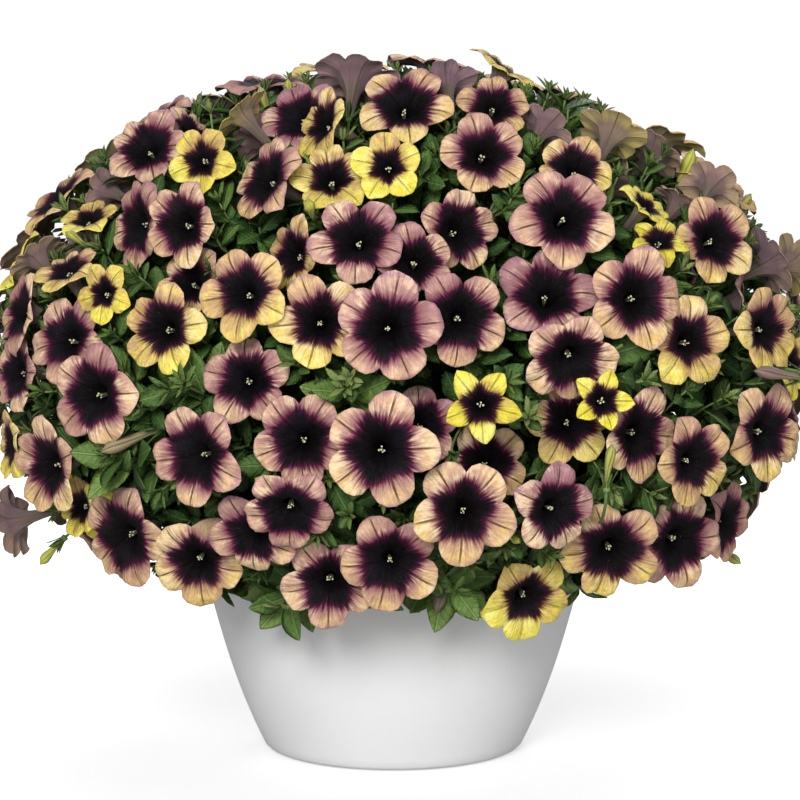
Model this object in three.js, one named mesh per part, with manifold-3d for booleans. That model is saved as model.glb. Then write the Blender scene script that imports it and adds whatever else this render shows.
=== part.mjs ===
// A petunia in a white bowl planter: a round mound of trumpet blooms with dark throats, carried by
// stems that stand in holes in the soil. Millimetres, +Z up, origin at the centre of the pot's foot.
import * as THREE from "three";
import { mergeVertices } from "three/addons/utils/BufferGeometryUtils.js";
import Module from "manifold-3d";

const wasm = await Module();
wasm.setup();

// Pot: a plain bowl, its side one smooth curve from foot to rim.
const POT_HEIGHT = 136;
const RIM_RADIUS = 133;
const FOOT_RADIUS = 88;
const SIDE_PULL = [113.8, 48.7]; // the point that the side's curve leans towards, radius and height
const POT_WALL = 4;
const POT_FLOOR = 5;
const POT_SIDES = 36;
const POT_BEND = 60; // height where the inner wall bends
const DRAIN_HOLES = 4;
const DRAIN_RADIUS = 5;
const DRAIN_RING = 55;

// Soil: fills the pot to a little below its rim.
const SOIL_TOP = 122;
const SOIL_GAP = 0.3;
const HOLE_DEPTH = 30;
const HOLE_GAP = 0.35;

// Mound: the surface that the bloom faces lie on, round from above, flatter below its widest place.
const MOUND_MIDDLE = 264;
const MOUND_RADIUS = 284;
const MOUND_UP = 212;
const MOUND_DOWN = 188;
const LOWEST_BLOOM = 136;
const CROWN = new THREE.Vector3(0, 0, 150); // the stems spread from about here

// Bloom: five fused petals on a narrow tube.
const BLOOM_DIAMETER = 70;
const LOBES = 5;
const LIMB_CUP = 0.15; // how far the throat's edge lies below the rim, as a share of the radius
const THROAT_SHARE = 0.3;
const THROAT_DEPTH = 0.58;
const LIMB_THICK = 2.2;
const TUBE_LENGTH = 34;
const TUBE_RADIUS = 2.7;
const BLOOM_AIR = 4; // room kept round a bloom
const SIDE_STEM_TAPER = 0.42; // its width where it is sunk in the main stem, as a share of the tube's
// One lobe's outline: angle from its middle in degrees, share of the radius, share of the radius up.
const ROUND_LOBE = [[-19, 0.97, -0.03], [19, 0.97, -0.03], [36, 0.72, 0.02]];
const STAR_LOBE = [[-20, 0.78, 0.03], [0, 1, -0.04], [20, 0.78, 0.03], [36, 0.55, 0.02]];
// Points on a bloom that stand for it when it is kept clear of the others: share of radius, how many,
// then the depths along its tube, as shares of the tube's length.
const FEELERS = [[0.95, 20], [0.7, 14], [0.42, 8]];
const TUBE_FEELERS = [0.3, 0.6, 1, 1.4];

// Stems: rings of flowering shoots, as [how many, height angle, first turn].
const SHOOT_RINGS = [[8, 1, 0], [9, 24, 20], [6, 48, 10], [1, 86, 0]];
const SHOOT_REACH = [150, 118]; // from the crown to the last joint of a low shoot and of the top one
const MOST_BLOOMS = 9; // on one shoot
const LOW_HOLE = 94; // from the axis to the hole of a level shoot; upright ones stand nearer the middle
const STEM_RADIUS = 2.5;
const STEM_SIDES = 4;

// Leaves stand on stems of their own, between the flowering shoots.
const LEAF_LENGTH = 38;
const LEAF_WIDTH = 21;
const LEAF_FOLD = 2;
const LEAF_THICK = 1.1;
const LEAF_ROOT = 4; // height of a leaf's root on its stem
const LEAF_AIR = 3.6; // room kept round a leaf
const LEAVES_APART = 12;
const OPEN_VIEW = [60, 0.9]; // no leaf stands before a bloom's face: how far out, share of its radius
// A leaf's outline from its root, right round: share of the length, share of half the width.
const LEAF_OUTLINE = [[0.36, -0.95], [0.74, -0.72], [1, 0], [0.74, 0.72], [0.36, 0.95]];
// Points on a leaf that stand for it when it is kept clear of other things.
const LEAF_FEELERS = [
  [0.3, 0], [0.36, 0.95], [0.36, -0.95], [0.55, 0.9], [0.55, -0.9], [0.74, 0.72], [0.74, -0.72],
  [0.55, 0], [0.8, 0], [1, 0],
];
const LEAFY_STEM_RADIUS = 1.9;
const WHORL = 3; // leaves round the stem at one height, and the stem's sides
const WHORLS = 4;
const WHORL_SPACING = 13;
const LEAFY_DEPTH = 14; // how far inside the mound's surface a leafy tip ends
const FEWEST_LEAVES = 4; // a stem with room for fewer is left out
const SWAYS = [0, 4, -4, 8, -8, 12, -12, 16, -16]; // turns that a stem tries, in degrees
const STEM_AIR = 2.6;
const STEM_FROM_LEAF = 9;
const STEMS_APART = 6;
const HOLES_APART = 9;
const GOLDEN_TURN = 137.508;

// The photograph's view of the plant, which places the blooms that it shows.
const PHOTO = { middle: 400, axis: 393.5, focal: 3143, distance: 2146, height: 484, pitch: 6.5 };

// Blooms in the photograph, nearest first: across, down and greatest width in its pixels, then the
// way the face looks in degrees (right of the viewer, up), then its colour from 0, mauve, to 1, yellow.
const SEEN = [
  [388, 328, 110, -2, 8, 0.28], [380, 450, 116, -3, 4, 0.45], [464, 512, 108, 5, 2, 0.55],
  [565, 217, 107, 12, 20, 0.38], [243, 293, 97, -22, 12, 0.72], [637, 298, 103, 18, 10, 0.52],
  [319, 322, 98, -8, 10, 0.7], [196, 563, 97, -14, -14, 0.62], [390, 563, 103, 3, -8, 0.5],
  [612, 552, 105, 10, -14, 0.68], [528, 600, 95, 24, -20, 0.95], [289, 512, 95, -4, -28, 0.3],
  [300, 440, 103, -10, 5, 0.35], [195, 455, 106, -34, 0, 0.4], [162, 329, 95, -26, 8, 0.8],
  [92, 395, 105, -32, 2, 0.4], [65, 338, 95, -34, 16, 0.42], [47, 466, 102, -50, -4, 0.52],
  [122, 538, 106, -38, -10, 0.5], [329, 584, 98, -6, -12, 0.38], [252, 536, 90, -18, -18, 0.42],
  [681, 542, 103, 32, -8, 0.4], [729, 522, 88, 62, -6, 0.4], [556, 510, 94, 28, -4, 0.2],
  [487, 465, 90, 10, 8, 0.6], [481, 405, 82, 0, 6, 1.2], [603, 400, 66, 12, 16, 1.2],
  [570, 424, 92, 10, 6, 0.72], [640, 434, 98, 38, 0, 0.5], [695, 462, 95, 36, 0, 0.68],
  [768, 432, 101, 40, 0, 0.6], [571, 360, 98, 8, -22, 0.42], [547, 293, 106, 4, 32, 0.12],
  [716, 240, 93, 28, 16, 0.62], [691, 342, 94, 26, 6, 0.78], [768, 330, 92, 44, 6, 0.76],
  [461, 318, 100, 14, 6, 0.38], [357, 238, 99, -6, 28, 0.2], [415, 260, 84, 4, 28, 0.35],
  [460, 230, 90, 28, 14, 0.42], [484, 153, 92, 8, 26, 0.48], [405, 104, 97, 0, 42, 0.62],
  [387, 166, 72, -4, 18, 0.96], [330, 178, 84, -10, 36, 0.84], [245, 380, 94, -14, 10, 0.3],
  [291, 256, 84, -50, 10, 0.75], [264, 178, 94, -52, 26, 0.5], [181, 224, 88, -34, 8, 0.46],
  [321, 124, 78, -58, 22, 0.8], [300, 116, 90, -24, 36, 0.12], [135, 224, 95, -56, 6, 0.42],
  [147, 147, 86, -22, 34, 0.32], [200, 160, 72, -24, 16, 0.98], [494, 105, 78, 8, 38, 0.62],
  [576, 168, 80, 14, 34, 0.74], [190, 283, 78, -30, 22, 0.62], [102, 293, 64, -32, 10, 1.0],
  [88, 217, 64, -30, 62, 0.86], [66, 268, 72, -42, 56, 0.72], [19, 311, 86, -64, 14, 0.4],
  [15, 372, 84, -56, 6, 0.3], [79, 507, 64, -48, 4, 1.0], [420, 425, 84, 4, 12, 0.18],
  [660, 238, 66, 12, 48, 1.2], [665, 374, 72, 88, 4, 0.42], [745, 300, 72, 82, 10, 0.2],
  [690, 277, 70, 60, -40, 0.3], [770, 262, 78, 118, 22, 0.25], [355, 76, 90, 170, 52, 0.2],
  [507, 67, 76, 82, 54, 0.84], [445, 84, 66, 190, 36, 0.14], [612, 132, 76, 150, 44, 0.8],
  [545, 128, 62, 150, 30, 0.28], [240, 114, 66, -110, 44, 0.84], [258, 140, 58, -150, 14, 0.28],
  [192, 132, 64, 58, 34, 0.3], [38, 256, 66, -130, 46, 0.5], [85, 247, 58, -158, 18, 0.3],
  [108, 190, 60, -142, 14, 0.3], [648, 204, 62, 58, 46, 1.0], [628, 186, 64, 100, 12, 0.6],
  [711, 186, 62, 160, 22, 0.5], [680, 202, 62, 120, 46, 0.5], [655, 152, 66, 130, 36, 0.4],
  [794, 264, 66, 120, 12, 0.72], [796, 366, 70, 60, 2, 1.0], [8, 445, 76, -70, 0, 0.8],
  [12, 522, 76, -108, -16, 0.3], [797, 312, 84, 72, 6, 0.5],
];
const STAR_COLOUR = 1.1; // young yellow blooms, above this, have narrow pointed lobes

// Places in the photograph where a leafy tip fills the gap between blooms, across and down.
const LEAFY_SEEN = [
  [185, 385], [345, 388], [503, 338], [520, 262], [660, 520], [742, 385], [280, 606], [455, 590],
  [110, 455], [330, 225], [600, 600], [622, 345],
];
const ROUND_BACK_SHARE = 0.975; // they lie this far out, as a share of the mound's size
const GRAZING = 0.24; // a place whose outward direction meets the line of sight this squarely is in sight
const LEAFY_GRAZING = 0.02; // the same for leafy tips
const ROUND_BACK = 176; // blooms that would cover the whole mound, of which those out of sight are kept
const LEAFY_ROUND_BACK = 30;
const SEED = 20261;

const UP = new THREE.Vector3(0, 0, 1);
const radians = THREE.MathUtils.degToRad;

let drawState = SEED;
function draw(low, high) {
  drawState = (Math.imul(drawState, 1664525) + 1013904223) >>> 0;
  return low + ((high - low) * drawState) / 4294967296;
}

// Solids

function solidFrom(points, triangles) {
  const vertProperties = new Float32Array(points.length * 3);
  points.forEach((p, i) => vertProperties.set([p.x, p.y, p.z], i * 3));
  return new wasm.Manifold(
    new wasm.Mesh({ numProp: 3, vertProperties, triVerts: new Uint32Array(triangles.flat()) }),
  );
}

function solidOf(geometry) {
  const bare = geometry.clone();
  for (const name of Object.keys(bare.attributes)) {
    if (name !== "position") bare.deleteAttribute(name);
  }
  const merged = mergeVertices(bare, 1e-3);
  return new wasm.Manifold(
    new wasm.Mesh({
      numProp: 3,
      vertProperties: new Float32Array(merged.attributes.position.array),
      triVerts: new Uint32Array(merged.index.array),
    }),
  );
}

function geometryOf(solid) {
  const mesh = solid.getMesh();
  const position = new Float32Array(mesh.numVert * 3);
  for (let i = 0; i < mesh.numVert; i++) {
    position.set(mesh.vertProperties.subarray(i * mesh.numProp, i * mesh.numProp + 3), i * 3);
  }
  return new THREE.BufferGeometry()
    .setAttribute("position", new THREE.BufferAttribute(position, 3))
    .setIndex(new THREE.BufferAttribute(mesh.triVerts, 1));
}

const joined = (solids) => solids.reduce((whole, solid) => whole.add(solid));

function lathe(profile, sides) {
  const geometry = new THREE.LatheGeometry(profile.map((p) => new THREE.Vector2(...p)), sides);
  return solidOf(geometry.rotateX(Math.PI / 2));
}

// Two directions square to an axis.
function squareTo(axis) {
  const side = Math.abs(axis.z) < 0.9 ? UP : new THREE.Vector3(1, 0, 0);
  const right = new THREE.Vector3().crossVectors(side, axis).normalize();
  return [right, new THREE.Vector3().crossVectors(axis, right)];
}

// A ring of points round a place on a stem; across is the direction that its corners keep to.
function ring(centre, axis, across, radius, sides, twist = 0) {
  const right = across.clone().addScaledVector(axis, -across.dot(axis)).normalize();
  const over = new THREE.Vector3().crossVectors(axis, right);
  return Array.from({ length: sides }, (_, i) => {
    const turn = (2 * Math.PI * i) / sides + twist;
    return centre
      .clone()
      .addScaledVector(right, radius * Math.cos(turn))
      .addScaledVector(over, radius * Math.sin(turn));
  });
}

// A stem along a path, with one of its flat sides facing across.
function stem(path, across, radius, sides) {
  const points = [];
  const triangles = [];
  path.forEach((p, i) => {
    const ahead = path[Math.min(i + 1, path.length - 1)];
    const behind = path[Math.max(i - 1, 0)];
    const axis = ahead.clone().sub(behind).normalize();
    points.push(...ring(p, axis, across, radius, sides, Math.PI / sides));
  });
  for (let i = 0; i + 1 < path.length; i++) {
    for (let k = 0; k < sides; k++) {
      const a = i * sides + k;
      const b = i * sides + ((k + 1) % sides);
      triangles.push([a, b, a + sides], [b, b + sides, a + sides]);
    }
  }
  const last = (path.length - 1) * sides;
  for (let k = 1; k + 1 < sides; k++) {
    triangles.push([0, k + 1, k], [last, last + k, last + k + 1]);
  }
  return solidFrom(points, triangles);
}

// Pot and soil

function sideRadius(height) {
  // The side is a quadratic curve; its parameter at this height comes from the quadratic formula.
  const a = POT_HEIGHT - 2 * SIDE_PULL[1];
  const b = 2 * SIDE_PULL[1];
  const t = (-b + Math.sqrt(b * b + 4 * a * height)) / (2 * a);
  return (1 - t) ** 2 * FOOT_RADIUS + 2 * t * (1 - t) * SIDE_PULL[0] + t * t * RIM_RADIUS;
}

function pot() {
  const outside = [3, 28, 62, 98, POT_HEIGHT - 1.5].map((z) => [sideRadius(z), z]);
  const inside = [POT_BEND, POT_FLOOR].map((z) => [sideRadius(z) - POT_WALL, z]);
  const profile = [
    [0, 0],
    [FOOT_RADIUS - 2, 0],
    ...outside,
    [RIM_RADIUS - POT_WALL / 2, POT_HEIGHT],
    [RIM_RADIUS - POT_WALL, POT_HEIGHT - 1.5],
    ...inside,
    [0, POT_FLOOR],
  ];
  const drains = Array.from({ length: DRAIN_HOLES }, (_, i) => {
    const turn = (2 * Math.PI * (i + 0.5)) / DRAIN_HOLES;
    const hole = new THREE.CylinderGeometry(DRAIN_RADIUS, DRAIN_RADIUS, 3 * POT_FLOOR, 8)
      .rotateX(Math.PI / 2)
      .translate(DRAIN_RING * Math.cos(turn), DRAIN_RING * Math.sin(turn), 0);
    return solidOf(hole);
  });
  return lathe(profile, POT_SIDES).subtract(joined(drains));
}

function soil(stemHoles) {
  const edge = SOIL_TOP - 3;
  const share = (edge - POT_BEND) / (POT_HEIGHT - 1.5 - POT_BEND);
  const edgeRadius = THREE.MathUtils.lerp(sideRadius(POT_BEND), RIM_RADIUS, share);
  const low = POT_FLOOR + SOIL_GAP;
  const wall = [[sideRadius(low), low], [sideRadius(POT_BEND), POT_BEND], [edgeRadius, edge]];
  const inner = wall.map(([r, z]) => [r - POT_WALL - 1.5 * SOIL_GAP, z]);
  const profile = [[0, low], ...inner, [112, SOIL_TOP], [0, SOIL_TOP + 2]];
  return lathe(profile, POT_SIDES).subtract(joined(stemHoles));
}

// Where the blooms stand

// How far outside the mound's surface a point is: 0 on it, below 0 inside.
function outsideMound(p) {
  const z = p.z - MOUND_MIDDLE;
  const half = z > 0 ? MOUND_UP : MOUND_DOWN;
  return (p.x * p.x + p.y * p.y) / MOUND_RADIUS ** 2 + (z / half) ** 2 - 1;
}

function moundNormal(p) {
  const z = p.z - MOUND_MIDDLE;
  const half = z > 0 ? MOUND_UP : MOUND_DOWN;
  return new THREE.Vector3(p.x / MOUND_RADIUS ** 2, p.y / MOUND_RADIUS ** 2, z / half ** 2).normalize();
}

const EYE = new THREE.Vector3(
  ((PHOTO.middle - PHOTO.axis) * PHOTO.distance) / PHOTO.focal,
  -PHOTO.distance,
  PHOTO.height,
);
const LOOK = new THREE.Vector3(0, Math.cos(radians(PHOTO.pitch)), -Math.sin(radians(PHOTO.pitch)));
const LOOK_UP = new THREE.Vector3(0, Math.sin(radians(PHOTO.pitch)), Math.cos(radians(PHOTO.pitch)));

function sightLine(across, down) {
  return LOOK.clone()
    .multiplyScalar(PHOTO.focal)
    .addScaledVector(LOOK_UP, PHOTO.middle - down)
    .add(new THREE.Vector3(across - PHOTO.middle, 0, 0))
    .normalize();
}

function seenAt(p) {
  const d = p.clone().sub(EYE);
  const depth = d.dot(LOOK);
  return [
    PHOTO.middle + (PHOTO.focal * d.x) / depth,
    PHOTO.middle - (PHOTO.focal * d.dot(LOOK_UP)) / depth,
    depth,
  ];
}

// The first place where a line of sight meets the mound, or where it passes nearest to it.
function meetMound(along) {
  const at = (t) => outsideMound(EYE.clone().addScaledVector(along, t));
  const first = PHOTO.distance - 2 * MOUND_RADIUS;
  const step = 5;
  let nearest = first;
  for (let t = first; t < PHOTO.distance + 2 * MOUND_RADIUS; t += step) {
    if (at(t) < 0) {
      let low = t - step;
      let high = t;
      for (let k = 0; k < 30; k++) {
        const half = (low + high) / 2;
        if (at(half) < 0) high = half;
        else low = half;
      }
      return high;
    }
    if (at(t) < at(nearest)) nearest = t;
  }
  return nearest;
}

function facing(right, up) {
  const [a, e] = [radians(right), radians(up)];
  return new THREE.Vector3(Math.sin(a) * Math.cos(e), -Math.cos(a) * Math.cos(e), Math.sin(e));
}

function feelers(bloom) {
  const [right, over] = squareTo(bloom.face);
  const points = [];
  for (const [share, count] of FEELERS) {
    for (let i = 0; i < count; i++) {
      const turn = (2 * Math.PI * i) / count;
      points.push(
        bloom.centre
          .clone()
          .addScaledVector(right, share * bloom.radius * Math.cos(turn))
          .addScaledVector(over, share * bloom.radius * Math.sin(turn))
          .addScaledVector(bloom.face, -LIMB_CUP * bloom.radius * (1 - share)),
      );
    }
  }
  for (const depth of TUBE_FEELERS) {
    points.push(bloom.centre.clone().addScaledVector(bloom.face, -depth * TUBE_LENGTH));
  }
  return points;
}

// Whether a point lies in the room that a bloom's petals and tube take, with some air round them.
function inBloom(p, bloom, air) {
  const d = p.clone().sub(bloom.centre);
  const height = d.dot(bloom.face);
  const out = Math.sqrt(Math.max(0, d.lengthSq() - height * height));
  const reach = out / bloom.radius;
  if (reach < 1 + air / bloom.radius) {
    const surface = -LIMB_CUP * bloom.radius * (1 - reach) - 1;
    if (Math.abs(height - surface) < air) return true;
  }
  if (height < 0 && height > -THROAT_DEPTH * bloom.radius * 1.3 && out < 6 + air) return true;
  return height <= 0 && height > -1.2 * TUBE_LENGTH && out < TUBE_RADIUS + air;
}

function clash(bloom, others) {
  const own = feelers(bloom);
  return others.some((other) => {
    const reach = bloom.radius + other.radius + 1.2 * TUBE_LENGTH;
    if (bloom.centre.distanceTo(other.centre) > reach) return false;
    if (own.some((p) => inBloom(p, other, BLOOM_AIR))) return true;
    return feelers(other).some((p) => inBloom(p, bloom, BLOOM_AIR));
  });
}

// Moves a bloom inwards in small steps until it is clear of those that stand already.
function settle(bloom, inwards, others) {
  const start = bloom.centre.clone();
  for (let depth = 0; depth <= 110; depth += 2.5) {
    bloom.centre = start.clone().addScaledVector(inwards, depth);
    if (!clash(bloom, others)) return true;
  }
  bloom.centre = start;
  return false;
}

function placeBlooms() {
  const placed = [];
  for (const [across, down, wide, right, up, colour] of SEEN) {
    const along = sightLine(across, down);
    const centre = EYE.clone().addScaledVector(along, meetMound(along));
    const radius = (wide * seenAt(centre)[2]) / PHOTO.focal / 2;
    const bloom = { centre, face: facing(right, up), radius, colour, turn: draw(0, 72) };
    if (settle(bloom, along, placed)) placed.push(bloom);
  }
  const shown = placed.length;
  for (let i = 0; i < ROUND_BACK; i++) {
    const z = 1 - (2 * i + 1) / ROUND_BACK;
    const turn = radians(i * GOLDEN_TURN);
    const flat = Math.sqrt(1 - z * z);
    const half = z > 0 ? MOUND_UP : MOUND_DOWN;
    const centre = new THREE.Vector3(
      flat * Math.cos(turn) * MOUND_RADIUS * ROUND_BACK_SHARE,
      flat * Math.sin(turn) * MOUND_RADIUS * ROUND_BACK_SHARE,
      MOUND_MIDDLE + z * half * ROUND_BACK_SHARE,
    );
    const normal = moundNormal(centre);
    const [across] = seenAt(centre);
    const inSight = normal.dot(EYE.clone().sub(centre).normalize()) > GRAZING;
    const wobble = new THREE.Vector3(draw(-0.3, 0.3), draw(-0.3, 0.3), draw(0, 0.4));
    const radius = (BLOOM_DIAMETER / 2) * draw(0.86, 1.05);
    const colour = draw(0, 1) < 0.12 ? 1 : draw(0.15, 0.85);
    const lobeTurn = draw(0, 72);
    if (centre.z < LOWEST_BLOOM || (inSight && across > 4 && across < 796)) continue;
    const bloom = { centre, face: normal.clone().add(wobble).normalize(), radius, colour, turn: lobeTurn };
    const near = placed.slice(0, shown).some((b) => b.centre.distanceTo(centre) < 48);
    if (!near && settle(bloom, normal.clone().negate(), placed)) placed.push(bloom);
  }
  return placed;
}

// A bloom and its side stem

function bloomSolid(bloom, root) {
  const [right, over] = squareTo(bloom.face);
  const at = (degrees, share, up) => {
    const turn = radians(degrees);
    return bloom.centre
      .clone()
      .addScaledVector(right, share * Math.cos(turn))
      .addScaledVector(over, share * Math.sin(turn))
      .addScaledVector(bloom.face, up);
  };
  const r = bloom.radius;
  const outline = bloom.colour > STAR_COLOUR ? STAR_LOBE : ROUND_LOBE;
  const perLobe = outline.length;
  const points = [];
  for (let k = 0; k < LOBES; k++) {
    for (const [angle, share, up] of outline) {
      points.push(at(bloom.turn + (360 / LOBES) * k + angle, share * r, up * r));
    }
  }
  const rim = points.length;
  const throat = rim;
  const back = rim + LOBES;
  for (let k = 0; k < LOBES; k++) {
    points.push(at(bloom.turn + (360 / LOBES) * k, THROAT_SHARE * r, -LIMB_CUP * r));
  }
  for (let k = 0; k < LOBES; k++) {
    points.push(at(bloom.turn + (360 / LOBES) * k, THROAT_SHARE * r + 1, -LIMB_CUP * r - LIMB_THICK));
  }
  const pit = points.length;
  points.push(at(0, 0, -THROAT_DEPTH * r));
  const triangles = [];
  const band = (inner, turned) => {
    const face = (a, b, c) => triangles.push(turned ? [a, c, b] : [a, b, c]);
    for (let k = 0; k < LOBES; k++) {
      const next = (k + 1) % LOBES;
      const first = k * perLobe;
      face(inner + k, (first + rim - 1) % rim, first);
      for (let j = 0; j + 1 < perLobe; j++) face(inner + k, first + j, first + j + 1);
      face(inner + k, first + perLobe - 1, inner + next);
    }
  };
  band(throat, false);
  band(back, true);
  for (let k = 0; k < LOBES; k++) triangles.push([pit, throat + k, throat + ((k + 1) % LOBES)]);
  // The tube narrows to three corners, then runs on as a side stem that is sunk in the main stem.
  const axis = bloom.foot.clone().sub(root).normalize();
  const tilt = new THREE.Quaternion().setFromUnitVectors(bloom.face, axis);
  const corners = [0, 144, 216].map((degrees) =>
    at(bloom.turn + degrees, TUBE_RADIUS, 0).sub(bloom.centre).applyQuaternion(tilt),
  );
  const foot = points.length;
  for (const corner of corners) points.push(bloom.foot.clone().add(corner));
  const end = points.length;
  for (const corner of corners) points.push(root.clone().addScaledVector(corner, SIDE_STEM_TAPER));
  triangles.push(
    [back, foot, back + 1], [back + 1, foot, foot + 1], [back + 1, foot + 1, back + 2],
    [back + 2, foot + 1, foot + 2], [back + 2, foot + 2, back + 3], [back + 3, foot + 2, back + 4],
    [back + 4, foot + 2, foot], [back + 4, foot, back],
  );
  for (let k = 0; k < 3; k++) {
    const next = (k + 1) % 3;
    triangles.push([foot + k, end + k, foot + next], [foot + next, end + k, end + next]);
  }
  triangles.push([end, end + 2, end + 1]);
  return solidFrom(points, triangles);
}

// Stems

// A main stem rises straight out of its hole, then leans out to its last joint.
function stemPath(turn, holeRadius, last) {
  const out = new THREE.Vector3(Math.cos(turn), Math.sin(turn), 0);
  const at = (r, z) => out.clone().multiplyScalar(r).setZ(z);
  const bottom = at(holeRadius, SOIL_TOP - HOLE_DEPTH + 2);
  const mouth = at(holeRadius, SOIL_TOP + 6);
  const rise = mouth.distanceTo(last);
  const curve = new THREE.CubicBezierCurve3(
    mouth,
    at(holeRadius, mouth.z + 0.42 * rise),
    last.clone().addScaledVector(last.clone().sub(CROWN).normalize(), -0.3 * rise),
    last,
  );
  return [bottom, ...curve.getPoints(3)];
}

// The place this share of the way along a path, and the path's direction there.
function onPath(path, share) {
  const lengths = path.slice(1).map((p, i) => p.distanceTo(path[i]));
  let rest = share * lengths.reduce((a, b) => a + b);
  let i = 0;
  while (i + 1 < lengths.length && rest > lengths[i]) rest -= lengths[i++];
  const way = path[i + 1].clone().sub(path[i]).normalize();
  return [path[i].clone().addScaledVector(way, rest), way];
}

// The horizontal direction across the plane that a stem bends in.
function acrossOf(path) {
  return new THREE.Vector3().crossVectors(UP, path[path.length - 1].clone().sub(path[0])).normalize();
}

function stemHole(path, radius, sides) {
  const top = path[0].clone().setZ(SOIL_TOP + 20);
  const bottom = path[0].clone().setZ(SOIL_TOP - HOLE_DEPTH);
  const wide = radius + HOLE_GAP / Math.cos(Math.PI / sides);
  return stem([bottom, top], acrossOf(path), wide, sides);
}

function direction(turn, rise) {
  return new THREE.Vector3(Math.cos(turn) * Math.cos(rise), Math.sin(turn) * Math.cos(rise), Math.sin(rise));
}

// Gives each bloom to a shoot that points its way, the nearest pairs first.
function share(blooms, shoots) {
  const pairs = [];
  for (const shoot of shoots) {
    shoot.blooms = [];
    for (const bloom of blooms) pairs.push([shoot.way.angleTo(bloom.away), shoot, bloom]);
  }
  pairs.sort((a, b) => a[0] - b[0]);
  const given = new Set();
  for (const [, shoot, bloom] of pairs) {
    if (given.has(bloom) || shoot.blooms.length >= MOST_BLOOMS) continue;
    given.add(bloom);
    shoot.blooms.push(bloom);
  }
}

function flowering(blooms) {
  const shoots = [];
  for (const [count, rise, first] of SHOOT_RINGS) {
    for (let i = 0; i < count; i++) {
      shoots.push({ way: direction(radians(first + (360 * i) / count), radians(rise)), blooms: [] });
    }
  }
  for (const bloom of blooms) {
    bloom.foot = bloom.centre.clone().addScaledVector(bloom.face, -TUBE_LENGTH);
    bloom.away = bloom.foot.clone().sub(CROWN).normalize();
  }
  // The shoots turn towards the middle of their blooms until they have settled.
  for (let round = 0; round < 8; round++) {
    share(blooms, shoots);
    for (const shoot of shoots) {
      for (const bloom of shoot.blooms) shoot.way.addScaledVector(bloom.away, 0.4);
      shoot.way.normalize();
    }
  }
  share(blooms, shoots);
  for (const shoot of shoots) {
    const rise = Math.asin(shoot.way.z) / (Math.PI / 2);
    const reach = THREE.MathUtils.lerp(...SHOOT_REACH, rise);
    const last = CROWN.clone().addScaledVector(shoot.way, reach);
    last.z += 16 * (1 - rise);
    shoot.path = stemPath(Math.atan2(shoot.way.y, shoot.way.x), LOW_HOLE * (1 - rise), last);
    // The blooms furthest from the stem's own direction branch off lowest.
    shoot.blooms.sort((a, b) => shoot.way.angleTo(a.away) - shoot.way.angleTo(b.away));
    const top = shoot.path.slice(-3);
    shoot.blooms.forEach((bloom, i) => {
      bloom.root = onPath(top, 0.97 - (0.6 * i) / Math.max(1, shoot.blooms.length - 1))[0];
    });
  }
  return shoots;
}

function shootSolid(shoot) {
  const main = stem(shoot.path, acrossOf(shoot.path), STEM_RADIUS, STEM_SIDES);
  return joined([main, ...shoot.blooms.map((bloom) => bloomSolid(bloom, bloom.root))]);
}

// Leafy stems

// The blade's frame: how it points, its left, and the way its upper side faces.
function leafFrame(leaf) {
  const side = new THREE.Vector3().crossVectors(leaf.axis, leaf.out).normalize();
  return [side, new THREE.Vector3().crossVectors(leaf.along, side)];
}

function leafPoint(leaf, share, across, lift) {
  const [side, up] = leafFrame(leaf);
  return leaf.base
    .clone()
    .addScaledVector(leaf.along, share * LEAF_LENGTH * leaf.size)
    .addScaledVector(side, (across * LEAF_WIDTH * leaf.size) / 2)
    .addScaledVector(up, lift);
}

// Adds a leaf to a stem's skin in place of the face between the corners a, b below and c, d above.
function growLeaf(points, triangles, leaf, [a, b, c, d]) {
  const first = points.length;
  for (const [share, across] of LEAF_OUTLINE) {
    points.push(leafPoint(leaf, share, across, share === 1 ? -LEAF_FOLD : LEAF_FOLD));
  }
  const outline = LEAF_OUTLINE.map((_, i) => first + i);
  const upper = points.length;
  points.push(leafPoint(leaf, 0.5, 0, LEAF_THICK / 2), leafPoint(leaf, 0.5, 0, -LEAF_THICK / 2));
  const above = [d, ...outline, c];
  const below = [a, ...outline, b];
  above.forEach((p, i) => triangles.push([upper, p, above[(i + 1) % above.length]]));
  below.forEach((p, i) => triangles.push([upper + 1, below[(i + 1) % below.length], p]));
  triangles.push([a, outline[0], d], [b, c, outline[outline.length - 1]]);
}

// The rings of a leafy stem: the path's own points low down, then two for each whorl of leaves.
function leafyRings(path) {
  const length = path.slice(1).reduce((sum, p, i) => sum + p.distanceTo(path[i]), 0);
  const first = length - WHORLS * WHORL_SPACING;
  const rings = [];
  let gone = 0;
  path.forEach((p, i) => {
    if (i) gone += p.distanceTo(path[i - 1]);
    if (gone < first - 4) rings.push({ at: gone / length });
  });
  for (let w = 0; w < WHORLS; w++) {
    const from = first + w * WHORL_SPACING;
    rings.push({ at: from / length, whorl: w, twist: w % 2 });
    rings.push({ at: (from + LEAF_ROOT) / length, twist: w % 2 });
  }
  rings.push({ at: 1, twist: 0 });
  return rings;
}

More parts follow.
